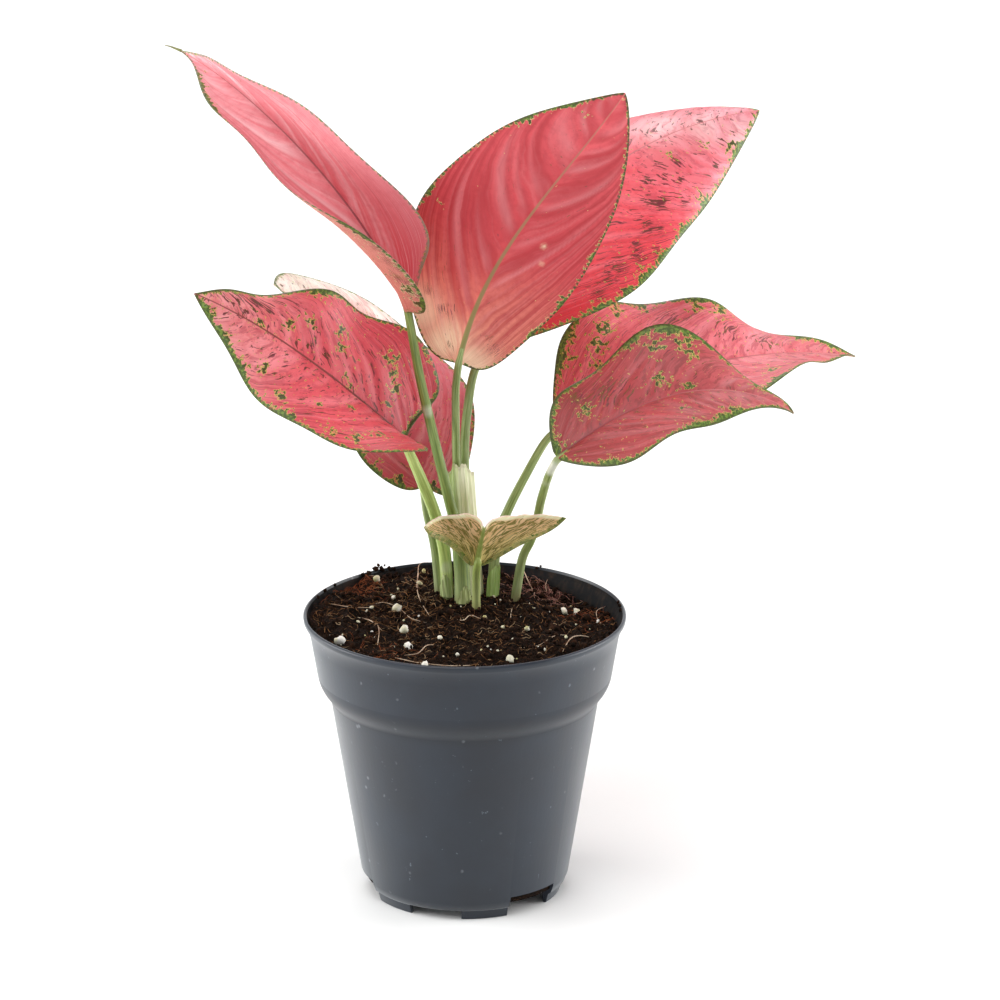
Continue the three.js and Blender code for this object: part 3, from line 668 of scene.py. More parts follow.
# Leaves. Each blade is one thin waxy sheet: a pale midrib that stands out below, curved side veins
# that quilt the surface, and a wavy margin. v runs along the midrib and u from the right margin, -1,
# to the left one, 1. The numbers of each leaf are those of its CAD blade, in degrees and millimetres.
BLADE_ROWS = 150
BLADE_COLUMNS = 61
BLADE_THICKNESS = 0.5
LOBE_REACH = 0.05
VEIN_SPACING = 9.5
VEIN_DEPTH = 1.0
VEIN_LEAN = 0.27
RIDGE_WIDTH = 1.2
GROOVE_WIDTH = 1.1
GROOVE_DEPTH = 0.5
QUILT_FROM_RIB = 5
UP = np.array([0, 0, 1.0])


def side(width, lobe, fold, curl, ripple, phase):
    """The width, lobe, fold, curl and wave of one half of a blade."""
    return dict(width=width, lobe=lobe, fold=fold, curl=curl, ripple=ripple, phase=phase)



LEAVES = {
    "upper_left": dict(
        base=(-20.6, 1, 224.8), length=143, half_width=29.7, outline=(0.66, 1.45),
        heading=(190, -91, 27), pitch=(70, -54, -12), roll=(-96, -25, 14), waves=2.74,
        lean=0.5, vein_spacing=12,
        left=side(1.02, 4.4, (85, -27, 0), (43, -16), 2.3, 49),
        right=side(0.96, -8.6, (20, -4, -5), (0, -4), -1.7, -86),
        foot=(-0.6, 18.6), radii=(3.3, 2, 1.8, 1.5),
        route=[(-1.8, 17, 129), (-5.8, 13, 148), (-11.1, 7, 173.3), (-16.1, 3.5, 197.6),
               (-19.5, 1, 218.3)],
    ),
    "centre": dict(
        base=(-2, 4, 203.6), length=129, half_width=34, outline=(0.62, 0.81),
        heading=(-43, 28, 12), pitch=(76, -63, 43), roll=(-58, 11, 3), waves=1.96, lean=0.4, vein_spacing=13,
        left=side(0.93, 5.3, (17, -13, -5), (-3, -13), -1, -72),
        right=side(1.06, 4.6, (19, 4, -3), (-1, 4), -1.6, 67),
        foot=(-0.5, 27.2), radii=(1.7, 1.6, 1.5, 1.4),
        route=[(-2.9, 24, 152.2), (-3.3, 12, 187.2), (-2.9, 8, 196.2)],
    ),
    "upper_right": dict(
        base=(8.3, 24, 204.8), length=153, half_width=40.6, outline=(0.64, 0.81),
        heading=(61, -42, -6), pitch=(53, -52, 3), roll=(4, 10, 3), waves=1.65,
        left=side(1, 3, (9, -7, -1), (-11, -7), -0.3, 3),
        right=side(1.05, -0.8, (4, -14, -3), (-16, -14), 2.2, 108),
        foot=(4, 28.5), radii=(2.1, 1.9, 1.7, 1.5),
        route=[(0.4, 27.7, 143.3), (-0.1, 26.6, 163.3), (1, 25.2, 179.2), (3.5, 24, 194.3)],
    ),
    "left": dict(
        base=(-22, 8, 173.8), length=99, half_width=38.2, outline=(0.33, 1.02),
        heading=(194, -10, 7), pitch=(44, -2, -16), roll=(-6, -36, 23), waves=2.6,
        left=side(1.12, 2.1, (19, -33, 6), (-1, -33), 1.4, 31),
        right=side(0.94, 7.5, (34, -20, -5), (14, -20), 3.2, -56),
        foot=(-6.3, 25.5), radii=(2.4, 2.3, 2.2, 1.6),
        route=[(-7.8, 22.5, 125.5), (-11.3, 19.5, 140.8), (-15.7, 15.5, 154.2), (-19.9, 12, 165.5)],
    ),
    "left_rear": dict(
        base=(-15.3, 30, 147.4), length=98, half_width=36.7, outline=(0.71, 0.45),
        heading=(114, 77, -9), pitch=(52, -15, 3), roll=(-1, 43, -33), waves=1.97,
        left=side(1, 2.9, (4, 5, 2), (-13, 5), -3.7, 32),
        right=side(1.21, 9.6, (22, -12, 12), (2, -12), -1.7, 99),
        foot=(-9.5, 29.6), radii=(1.8, 1.7, 1.5, 1.4),
        route=[(-11.3, 29.5, 123.1), (-14.3, 29.7, 137)],
    ),
    "right_rear": dict(
        base=(35.5, 35, 169), length=135, half_width=35.3, outline=(0.49, 1.09),
        heading=(21, 22, -7), pitch=(28, -59, 15), roll=(61, -40, -6), waves=2.82,
        left=side(1.03, -4.7, (4, -22, 31), (-3, -9), -4.6, 42),
        right=side(1.01, 1.4, (40, -30, 15), (11, -9), -3.5, -49),
        foot=(9.8, 27), radii=(2.2, 1.8, 1.65, 1.4),
        route=[(12, 28.5, 127), (16.1, 30, 138.4), (22.8, 32, 151.5), (29.9, 34, 163.8)],
    ),
    "right_front": dict(
        base=(33.8, 5, 167), length=97, half_width=28.2, outline=(0.68, 1.01),
        heading=(21, -17, -11), pitch=(33, -15, -53), roll=(10, -11, -9), waves=1.82,
        left=side(0.99, -0.9, (27, 0, -7), (7, 0), -6.6, -93),
        right=side(1.01, -0.2, (6, -3, 1), (-14, -3), -2.3, -2),
        foot=(18.4, 27), radii=(1.8, 1.65, 1.65, 1.4),
        route=[(21.3, 25.5, 120.1), (24.7, 23.5, 128.7), (26.9, 21, 137.5), (28.4, 17.5, 146.5),
               (31.2, 10, 158.7)],
    ),
    "trimmed_front": dict(
        base=(4.2, 7, 123.7), length=107, half_width=32, outline=(0.54, 0.91),
        heading=(-71, -3, 2), pitch=(64, -12, 0), roll=(-6, 2, 5), waves=1.67, cut_at=0.194, lean=0.06,
        cut=[(-1, 0.194), (-0.46, 0.202), (-0.18, 0.221), (-0.08, 0.215), (-0.03, 0.203), (0, 0.195),
             (0.03, 0.205), (0.1, 0.221), (0.28, 0.208), (0.5, 0.201), (1, 0.202)],
        left=side(1.1, -5.4, (32, 0, 1), (-29, 0), 0, 0),
        right=side(0.82, -7, (63, -1, -1), (-63, -1), 0, 0),
        foot=(4.3, 12.5), radii=(1.6, 1.6, 1.5, 1.4),
        route=[(4.2, 11, 113.3)],
    ),
}


def bend(numbers, v):
    """A quantity given at the base, with its change towards the tip and extra bend, in radians."""
    start, change, extra = (*numbers, 0)[:3]
    return np.radians(start + change * v + extra * v * v)


def midrib(leaf, v):
    """Points of the midrib at the shares v of its length, and its along, across and above directions."""
    fine = np.linspace(0, 1, 401)

    def way(s):
        heading, pitch = bend(leaf["heading"], s), bend(leaf["pitch"], s)
        return np.stack([np.cos(pitch) * np.cos(heading), np.cos(pitch) * np.sin(heading), np.sin(pitch)], -1)

    steps = way((fine[1:] + fine[:-1]) / 2) * leaf["length"] / (len(fine) - 1)
    path = np.vstack([np.zeros(3), np.cumsum(steps, axis=0)]) + leaf["base"]
    points = np.stack([np.interp(v, fine, path[:, i]) for i in range(3)], -1)
    along = way(v)
    level = np.cross(UP, along)
    level /= np.linalg.norm(level, axis=-1, keepdims=True)
    raised = np.cross(along, level)
    roll = bend(leaf["roll"], v)[..., None]
    across = np.cos(roll) * level + np.sin(roll) * raised
    above = np.cos(roll) * raised - np.sin(roll) * level
    return points, along, across, above


def half_width(leaf, v):
    swell, taper = leaf["outline"]
    widest = swell / (swell + taper)
    return leaf["half_width"] * (v / widest) ** swell * ((1 - v) / (1 - widest)) ** taper


def reach_back(leaf, v, u):
    """How far the lobe beside the stalk reaches back along the midrib."""
    lobe = np.where(u < 0, leaf["right"]["lobe"], leaf["left"]["lobe"])
    return lobe * (v / LOBE_REACH) * np.exp(1 - v / LOBE_REACH) * np.abs(u) ** 1.3


def blade_width(leaf, v, u):
    """The signed distance across the blade, in millimetres."""
    return u * half_width(leaf, v) * np.where(u < 0, leaf["right"]["width"], leaf["left"]["width"])


def blade_points(leaf, v, u):
    """The middle surface of the blade in millimetres, for arrays of v and u of one shape."""
    points, along, across, above = midrib(leaf, v)
    out = np.abs(u)
    sides = [leaf["right"], leaf["left"]]
    fold = np.where(u < 0, *(bend(s["fold"], v) for s in sides))
    curl = np.where(u < 0, *(bend(s["curl"], v) for s in sides)) * out
    ripple = np.where(u < 0, *(s["ripple"] for s in sides))
    phase = np.radians(np.where(u < 0, *(s["phase"] for s in sides)))
    envelope = out ** 2 * np.maximum(np.sin(np.pi * v), 0) ** 0.7
    wave = ripple * np.sin(2 * np.pi * leaf["waves"] * v + phase) * envelope
    width = blade_width(leaf, v, u)
    tilt = fold + curl
    return (
        points
        - reach_back(leaf, v, u)[..., None] * along
        + (width * np.cos(tilt))[..., None] * across
        + (np.abs(width) * np.sin(tilt) + wave)[..., None] * above
    )


def blade_rows(leaf):
    """Shares of the length, evenly spaced along the margin."""
    swell, taper = leaf["outline"]
    widest = swell / (swell + taper)
    first = widest * (1.5 / leaf["half_width"]) ** (1 / swell)
    tip = 1 - (1 - widest) * (0.15 / leaf["half_width"]) ** (1 / taper)
    last = min(leaf.get("cut_at", 1), tip)
    shares = first + (last - first) * (1 - np.cos(np.linspace(0, np.pi, 1200))) / 2
    run = np.hypot(np.diff(shares) * leaf["length"], np.diff(half_width(leaf, shares)))
    margin = np.concatenate([[0], np.cumsum(run)])
    return np.interp(np.linspace(0, margin[-1], BLADE_ROWS), margin, shares)


def vein_share(leaf, v, u):
    """The share of the midrib from which the side vein through (v, u) leaves."""
    out = np.abs(u)
    lean = leaf.get("lean", VEIN_LEAN) * out + 0.25 * out ** 2.4
    return (v - lean) / (1 - lean)


def blade_sheets(leaf):
    """The grids v, u, the blade's upper and lower sheets in millimetres, and where the side veins run."""
    rows = blade_rows(leaf)
    columns = np.linspace(1, -1, BLADE_COLUMNS)
    v, u = np.meshgrid(rows, columns, indexing="ij")
    if "cut" in leaf:
        cut_line = np.interp(u, *zip(*leaf["cut"]))
        v = rows[0] + (v - rows[0]) * (cut_line - rows[0]) / (rows[-1] - rows[0])
    middle = blade_points(leaf, v, u)
    normal = np.cross(np.gradient(middle, axis=1), np.gradient(middle, axis=0))
    normal /= np.maximum(np.linalg.norm(normal, axis=-1, keepdims=True), 1e-9)
    from_rib = np.abs(blade_width(leaf, v, u))
    spacing = leaf.get("vein_spacing", VEIN_SPACING)
    along_veins = vein_share(leaf, v, u) * leaf["length"] / spacing + 0.25 * np.sign(u)
    along_veins += 0.3 * np.sin(2.1 * along_veins + leaf["waves"] + u)
    room = np.clip(from_rib / QUILT_FROM_RIB, 0, 1) * np.clip((1 - np.abs(u)) * 3, 0, 1)
    strong = 0.75 + 0.25 * np.sin(1.7 * along_veins + 3 * u + leaf["waves"])
    crease = np.abs(np.cos(np.pi * along_veins)) ** 1.6
    crowded = np.hypot(*np.gradient(along_veins))
    room = room * np.clip(1.7 - 4.5 * crowded, 0, 1)
    quilt = VEIN_DEPTH * room * strong * (1 - crease) - VEIN_DEPTH / 2 * room
    slim = 1 - 0.85 * v
    groove = GROOVE_DEPTH * slim * np.exp(-(from_rib / GROOVE_WIDTH) ** 2)
    ridge = slim * np.exp(-(from_rib / (RIDGE_WIDTH * slim)) ** 2)
    thickness = BLADE_THICKNESS * (0.35 + 0.65 * np.sqrt(np.clip(1 - np.abs(u) ** 6, 0, 1)))
    upper = middle + normal * (thickness / 2 + quilt - groove)[..., None]
    lower = middle - normal * (thickness / 2 - quilt + ridge)[..., None]
    return v, u, upper, lower, room * strong * crease ** 4


def sheet_piece(name, upper, lower, skins, replaced):
    """A closed sheet of an upper grid, a lower grid and the strip round their rims, in one or two skins."""
    rows, columns = upper.shape[:2]
    at = np.arange(rows * columns).reshape(rows, columns)
    below = at + rows * columns
    top = np.stack([at[:-1, :-1], at[:-1, 1:], at[1:, 1:], at[1:, :-1]], -1).reshape(-1, 4)
    bottom = np.stack([below[:-1, :-1], below[1:, :-1], below[1:, 1:], below[:-1, 1:]], -1).reshape(-1, 4)
    rim = np.concatenate([at[0, :-1], at[:-1, -1], at[-1, :0:-1], at[:0:-1, 0]])
    after = np.roll(rim, -1)
    lift = rows * columns
    strip = np.stack([after, rim, rim + lift, after + lift], -1)
    vertices = placed(np.concatenate([upper.reshape(-1, 3), lower.reshape(-1, 3)]))
    piece = mesh_piece(name, vertices, np.concatenate([top, bottom, strip]), skins[0], replaced)
    for skin in skins[1:]:
        piece.data.materials.append(skin)
    skin_of_face = np.repeat([0, len(skins) - 1, 0], [len(top), len(bottom), len(strip)])
    piece.data.polygons.foreach_set("material_index", skin_of_face)
    return piece.data


def both_sheets(values):
    """The same values for the vertices of a sheet's upper and lower grid."""
    return np.tile(values.ravel(), 2)


def near_marks(leaf, v, u, marks):
    """How near each place of the blade lies to a mark (v, u, millimetres across), from 0 to 1."""
    weight = np.zeros_like(v)
    here = blade_points(leaf, v, u)
    for mark_v, mark_u, across in marks:
        there = blade_points(leaf, np.array(mark_v), np.array(mark_u))
        away = np.linalg.norm(here - there, axis=-1)
        weight = np.maximum(weight, np.exp(-(away / (across / 2)) ** 2))
    return weight


def margin_distance(leaf, v, u):
    """Millimetres to the blade's margin, measured on the flattened blade."""
    x = blade_width(leaf, v, u)
    y = v * leaf["length"] - reach_back(leaf, v, u)
    outline = np.concatenate([
        np.stack([x[:, 0], y[:, 0]], -1),
        np.stack([x[:, -1], y[:, -1]], -1),
    ])
    away = np.full(v.shape, np.inf)
    for px, py in outline[::2]:
        away = np.minimum(away, np.hypot(x - px, y - py))
    return away


def put_uv(mesh, name, across, along):
    layer = mesh.uv_layers.new(name=name)
    corner = np.empty(len(mesh.loops), np.int32)
    mesh.loops.foreach_get("vertex_index", corner)
    layer.data.foreach_set("uv", np.stack([across, along], -1)[corner].ravel().astype(np.float32))


def put_value(mesh, name, values):
    mesh.attributes.new(name, "FLOAT", "POINT").data.foreach_set("value", values.astype(np.float32))


# Leaf surface. Each side is a waxy cuticle over mottled tissue. Clouds, bands and streaks follow the
# side veins, and dashes of olive and maroon with cream rims lie between them. Green breaks in from the
# margin, which ends in a thin darker line. The roughness is that of a smooth waxed leaf.
DARK_PULL = 0.15
GREEN_PULL = 0.22
# name, coordinates, millimetres across and along the side veins, detail, roughness
LEAF_MOTTLING = (
    ("clouds", "vein_mm", 10, 26, 2, 0.5),
    ("bands", "vein_mm", 5.5, 30, 3, 0.5),
    ("mottles", "leaf_mm", 3.4, 3.4, 5, 0.7),
    ("streaks", "vein_mm", 1.7, 10, 4, 0.6),
    ("smudges", "vein_mm", 2.6, 5.0, 4, 0.65),
    ("dashes", "vein_mm", 1.5, 3.4, 3, 0.62),
    ("patches", "leaf_mm", 1.9, 1.9, 3, 0.62),
    ("grains", "leaf_mm", 1.1, 1.1, 2, 0.5),
)
# The side veins' coordinates wander by this much, in the size of mottling that is given first
WANDER_SIZE = 11
WANDER_REACH = (9, 12, 0)
# What lies over the ground colour, from the bottom up: the share that it takes and its tone
LEAF_LAYERS = (
    ("to_middle", "middle"), ("to_tip", "tip"), ("clouded", "deep"), ("banded", "light"), ("mottled", "deep"),
    ("streaked", "deep"), ("veined", "light"), ("paled", "pale"), ("smudged", "smudge"), ("dashed", "dash"),
    ("rimmed", "cream"), ("greened", "leafy"), ("cored", "core"), ("lined", "line"), ("ribbed", "rib"),
)


def leaf_skin(name, look, seed):
    """One side of a leaf, in the tones and shares of its look."""
    material, tree, surface = fresh_material(name, {"IOR": 1.45})
    values = {}
    for key in ("along", "margin_mm", "rib", "vein", "green", "dark", "pale"):
        values[key] = node(tree, "Attribute", {}, attribute_name=key).outputs["Fac"]
    for key in ("leaf_mm", "vein_mm"):
        inputs = {0: node(tree, "UVMap", {}, uv_map=key), 1: (seed * 37.0, seed * 53.0, 0)}
        values[key] = node(tree, "VectorMath", inputs, operation="ADD")
    where = {0: values["leaf_mm"], 1: (1 / WANDER_SIZE, 1 / WANDER_SIZE, 1)}
    mottled = {"Vector": node(tree, "VectorMath", where, operation="MULTIPLY"), "Scale": 1, "Detail": 2}
    centred = {0: node(tree, "TexNoise", mottled).outputs["Color"], 1: (0.5, 0.5, 0.5)}
    pushed = {0: node(tree, "VectorMath", centred, operation="SUBTRACT"), 1: WANDER_REACH}
    moved = {0: values["vein_mm"], 1: node(tree, "VectorMath", pushed, operation="MULTIPLY")}
    values["vein_mm"] = node(tree, "VectorMath", moved, operation="ADD")
    for key, where, across, along, detail, rough in LEAF_MOTTLING:
        inputs = {0: values[where], 1: (1 / across, 1 / along, 1)}
        scaled = node(tree, "VectorMath", inputs, operation="MULTIPLY")
        inputs = {"Vector": scaled, "Scale": 1, "Detail": detail, "Roughness": rough}
        values[key] = node(tree, "TexNoise", inputs)

    edge, border, maroon_from = look["green_from"], look["border"], look["maroon_from"]
    steps = [
        ("to_middle", "along", 0, look["middle_at"]),
        ("to_tip", "along", look["middle_at"], 1),
        ("clouded", "clouds", 0.36, 0.66, 0, look["clouds"]),
        ("banded", "bands", 0.48, 0.72, 0, look["bands"]),
        ("mottled", "mottles", 0.42, 0.68, 0, look["mottles"]),
        ("streaked", "streaks", 0.44, 0.74, 0, look["streaks"]),
        ("veined", "MULTIPLY", "vein", look["veins"]),
        ("broken", "streaks", 0.3, 0.62, 0.45, 1),
        ("near_pale", "MULTIPLY", "pale", "broken"),
        ("paled", "MULTIPLY", "near_pale", look["paleness"]),
        ("smudged", "smudges", 0.5, 0.62, 0, look["smudges"]),
        ("near_dark", "MULTIPLY", "dark", DARK_PULL),
        ("darkness", "ADD", "dashes", "near_dark"),
        ("dashed", "darkness", maroon_from - 0.02, maroon_from + 0.02, 0, 0.95),
        ("browned", "mottles", 0.4, 0.6),
        ("to_margin", "margin_mm", border * 2, 0, 0, 0.26),
        ("by_margin", "ADD", "patches", "to_margin"),
        ("near_green", "MULTIPLY", "green", GREEN_PULL),
        ("greenness", "ADD", "by_margin", "near_green"),
        ("rimmed", "greenness", edge - 0.035, edge - 0.015, 0, 0.8),
        ("deepened", "grains", 0.4, 0.58),
        ("greened", "greenness", edge, edge + 0.015),
        ("inner", "margin_mm", border, border * 1.6),
        ("cores", "greenness", edge + 0.03, edge + 0.05, 0, look["cores"]),
        ("cored", "MULTIPLY", "cores", "inner"),
        ("uneven", "patches", 0.3, 0.7, -0.35, 0.35),
        ("from_margin", "ADD", "margin_mm", "uneven"),
        ("lined", "from_margin", 1.05, 0.55, 0, look["line_share"]),
        ("ribbed", "rib", 1.2 * look["rib_wide"], 0.6 * look["rib_wide"], 0, 0.92),
        ("gloss", "clouds", 0.3, 0.7, look["rough"] - 0.05, look["rough"] + 0.07),
        ("fine_relief", "MULTIPLY", "streaks", 0.6),
        ("broad_relief", "MULTIPLY", "mottles", 0.4),
        ("relief", "ADD", "fine_relief", "broad_relief"),
    ]
    layered(tree, values, steps, [], None, "SMOOTHSTEP")
    tones = dict(look)
    for key, share, first, second in (
        ("dash", "browned", "maroon", "brown"), ("leafy", "deepened", "green", "olive"),
        ("rib", "along", "rib_base", "rib_tip"),
    ):
        tones[key] = layered(tree, values, [], [(share, look[second])], srgb(look[first]))
    layers = [(share, tones[tone]) for share, tone in LEAF_LAYERS]
    ground = layered(tree, values, [], layers, srgb(look["base"]))
    bump = node(tree, "Bump", {"Height": values["relief"], "Strength": 0.55, "Distance": 0.35 * MM})
    wire(tree, surface, {"Base Color": ground, "Roughness": values["gloss"], "Normal": bump})
    return material


# The upper side is brighter and the underside duller; each leaf's own differences from them follow.
UPPER = dict(
    base="#d0424c", middle="#e8606c", tip="#f0949c", middle_at=0.45, deep="#d04550", clouds=0.5,
    light="#f8a8b0", bands=0.3, streaks=0.22, mottles=0.4, veins=0.35, cores=0.8, core="#3f301d",
    smudges=0.3, smudge="#b03a4a", pale="#f4d8d4", paleness=0.8, maroon="#7b3340", brown="#6b5428",
    maroon_from=0.68, cream="#cbbd58", green="#6f8a34", olive="#475a24", green_from=0.74, border=1.3,
    line="#454d24", line_share=0.9, rib_wide=1.0, rib_base="#7d3438", rib_tip="#d87f82", rough=0.42,
)
UNDER = dict(
    UPPER, base="#cf7468", middle="#cc5c64", tip="#d97880", deep="#b9484f", clouds=0.4, light="#e39c9a",
    maroon_from=0.74, pale="#ecd9ae", rib_base="#8d9a58", rib_tip="#cf8f84", rough=0.5,
)
LOOKS = {
    "upper_left": (
        dict(UPPER, base="#d6525a", middle="#f2989f", tip="#eda8af", deep="#d66a73", light="#fde0e2",
             bands=0.5, veins=0.6, streaks=0.15, smudges=0.1, line="#6f7b60", line_share=0.8,
             maroon_from=0.74, green_from=0.8, rib_base="#7b333b", rib_wide=1.2),
        dict(UNDER, base="#c98070", middle="#d48d80", tip="#dc9c94", deep="#b9695c", green_from=0.64,
             maroon_from=0.63, border=1.1, cream="#d9cfa0"),
    ),
    "centre": (
        UPPER,
        dict(UNDER, base="#e88f78", middle="#d1434b", tip="#e65a63", deep="#b22a33", clouds=0.7,
             light="#e59599", bands=0.16, streaks=0.1, veins=0.4, smudges=0.12, mottles=0.3,
             pale="#f8dcb8", paleness=0.9, maroon_from=0.69, cream="#e3d98c", green_from=0.76,
             line="#4b4826", line_share=1.0, border=1.5, rib_base="#748545", rib_tip="#cb6c66",
             rib_wide=1.4),
    ),
    "upper_right": (
        dict(UPPER, base="#c8141c", middle="#e94a56", tip="#f09dab", deep="#d02a35", light="#f4949e",
             bands=0.2, smudges=0.4, paleness=0.55, maroon_from=0.62, maroon="#6b1a28",
             brown="#54351f", border=1.7, green_from=0.7),
        UNDER,
    ),
    "left": (
        dict(UPPER, base="#bc3a42", middle="#dc5a64", tip="#eeaaa8", deep="#c43a46", smudges=0.45,
             smudge="#a03444", maroon_from=0.605, maroon="#641e2e", brown="#4d3a1c", border=1.5,
             green_from=0.68, rib_tip="#84403c", rib_base="#5f2e28", rib_wide=1.5),
        UNDER,
    ),
    "left_rear": (
        dict(UPPER, base="#b9505c", middle="#cf7680", tip="#e4e6cc", light="#f0bcb8", pale="#fbf3e8",
             paleness=1.0, maroon_from=0.63, green_from=0.69, line_share=0.6),
        dict(UNDER, base="#cf6a70", middle="#e6b0a0", tip="#e2e4c6", light="#f4e2d2", pale="#fbf8ea",
             paleness=1.0, line_share=0.35, line="#8f9560", maroon_from=0.66, green_from=0.72),
    ),
    "right_rear": (
        dict(UPPER, cores=0.45, base="#e96a6c", middle="#ec828a", tip="#d48c8e", smudges=0.55,
             maroon_from=0.625, border=1.7, green_from=0.68, cream="#ddcd55"),
        UNDER,
    ),
    "right_front": (
        dict(UPPER, base="#a5403e", middle="#c24f52", tip="#cb6a6e", deep="#98383c", light="#d07c80",
             cores=0.6, smudges=0.55, smudge="#7f3a38", maroon_from=0.625, border=1.8,
             green_from=0.685, cream="#d2c66a"),
        UNDER,
    ),
    "trimmed_front": (
        dict(UPPER, base="#c2aa6c", middle="#cfa880", tip="#cfa880", deep="#a8914f", light="#dcbc92",
             smudges=0, maroon="#6a5f2e", maroon_from=0.54, green_from=0.72, line="#e4dfae",
             line_share=0.4, border=1.0, rib_base="#9aa858", rib_tip="#a8a860"),
        dict(UNDER, base="#d8cf7a", middle="#f0c496", tip="#f2c29c", middle_at=0.15, deep="#c9aa66",
             light="#f2d8a6", pale="#f6f2c8", paleness=1.0, streaks=0.5, smudges=0, maroon="#716c2a",
             brown="#8c7c3c", maroon_from=0.505, green_from=0.72, line="#8a8a50", line_share=0.6,
             border=0.8, rib_base="#93a552", rib_tip="#a8a860"),
    ),
}
# Marks that stand out on each leaf: v, u, and the size in millimetres.
MARKS = {
    "upper_left": dict(
        green=[(0.86, 0.7, 7), (0.81, 0.85, 10), (0.763, 0.95, 11), (0.732, 1, 9), (0.98, -1, 5),
               (0.264, 1, 8), (0.1, 0.8, 7), (0.06, 0.92, 7), (0.3, 0.97, 5)],
        dark=[(0.221, 0.97, 7), (0.197, 1, 6), (0.16, 0.95, 6), (0.12, 0.94, 7), (0.09, 0.93, 7),
              (0.181, 0.89, 6), (0.134, 0.8, 7), (0.722, -0.71, 3), (0.55, -0.55, 4)],
    ),
    "centre": dict(
        dark=[(0.147, -0.4, 8), (0.137, -0.5, 6), (0.054, -0.31, 6), (0.11, 0.45, 5), (0.09, 0.69, 8),
              (0.17, -0.68, 6)],
        green=[(0.893, -1, 7), (0.89, -0.53, 5), (0.78, -1, 7), (0.78, -0.9, 5), (0.43, -1, 7),
               (0.415, -0.82, 5), (0.48, 0.98, 5), (0.3, 0.95, 6), (0.17, 0.98, 6)],
        pale=[(0.07, -0.35, 17), (0.02, 0.7, 16), (0.117, -0.92, 20), (0.054, -0.58, 16), (0.03, 0.3, 12),
              (0.455, 0.39, 1.9), (0.398, 0.48, 1.6)],
    ),
    "upper_right": dict(
        dark=[(0.846, 0.43, 4), (0.732, 0.21, 5), (0.619, -0.36, 6), (0.669, -0.47, 6), (0.722, -0.39, 4),
              (0.706, -0.56, 4), (0.579, -0.54, 7), (0.605, -0.63, 6), (0.669, -0.79, 5), (0.515, -0.7, 6),
              (0.535, -0.79, 5), (0.348, -0.76, 8), (0.411, -0.82, 7), (0.3, -0.78, 8), (0.441, -0.76, 6),
              (0.473, -0.92, 5), (0.83, -0.74, 4), (0.24, -0.85, 6)],
        green=[(0.72, -0.28, 5), (0.826, -0.4, 4), (0.385, -0.96, 8), (0.739, -0.9, 7), (0.61, -0.97, 7),
               (0.9, -0.75, 7), (0.2, -1, 8), (0.3, -0.97, 6), (0.48, -0.98, 7)],
        pale=[(0.75, 0.2, 22), (0.93, -0.6, 14), (0.85, -0.1, 18)],
    ),
    "left": dict(
        dark=[(0.826, -0.76, 7), (0.759, -0.63, 6), (0.696, -0.48, 5), (0.8, -0.2, 5), (0.5, -0.2, 4)],
        green=[(0.716, -0.1, 6), (0.609, -0.34, 6), (0.538, -0.51, 6), (0.656, 0.62, 6), (0.562, 0.79, 6),
               (0.518, 0.96, 8), (0.415, -0.62, 6), (0.388, -0.42, 6), (0.328, -0.13, 5), (0.291, -0.06, 4),
               (0.298, 0.38, 5), (0.201, -0.64, 7), (0.167, -0.52, 6), (0.14, -0.42, 6), (0.127, -0.2, 4),
               (0.361, 0.85, 6), (0.274, 0.82, 7), (0.201, 0.69, 7), (0.555, -0.98, 8), (0.421, 0.6, 4),
               (0.84, 0.97, 9), (0.74, 0.97, 9), (0.93, 0.8, 7)],
    ),
    "left_rear": dict(
        dark=[(0.177, -0.93, 7), (0.117, -1, 8)],
        green=[(0.214, 0.96, 8), (0.067, 0.79, 6), (0.03, -0.45, 5), (0.03, -0.71, 5), (0.14, 0.9, 6)],
        pale=[(0.85, -0.9, 26), (0.77, -0.96, 24), (0.65, -0.9, 22), (0.95, -0.3, 22), (0.55, -0.9, 14)],
    ),
    "right_rear": dict(
        green=[(0.201, 0.6, 9), (0.244, 0.73, 9), (0.304, 0.87, 8), (0.538, 0.83, 7), (0.605, 0.82, 8),
               (0.181, 0.38, 7), (0.08, 0.9, 12), (0.12, 0.98, 12), (0.555, 0.98, 8), (0.839, 0.84, 8),
               (0.926, 0.83, 7), (0.572, -0.97, 8), (0.605, -0.61, 6), (0.4, 0.9, 6)],
        dark=[(0.45, 0.7, 8), (0.6, 0.5, 8), (0.7, 0.3, 6)],
    ),
    "right_front": dict(
        green=[(0.552, 0.97, 10), (0.592, 0.81, 9), (0.502, 0.78, 8), (0.609, 0.66, 7), (0.492, 0.3, 8),
               (0.579, 0.12, 6), (0.525, -0.47, 4), (0.565, -0.98, 10), (0.709, -1, 10), (0.746, -0.82, 7),
               (0.037, 0.25, 6), (0.147, -0.96, 8), (0.45, 0.98, 9), (0.2, 0.4, 7), (0.84, 0.7, 7)],
        dark=[(0.3, 0.5, 12), (0.2, 0.7, 10)],
    ),
    "trimmed_front": dict(green=[(0.19, 1, 7)]),
}


CUT_RIM = 2.0


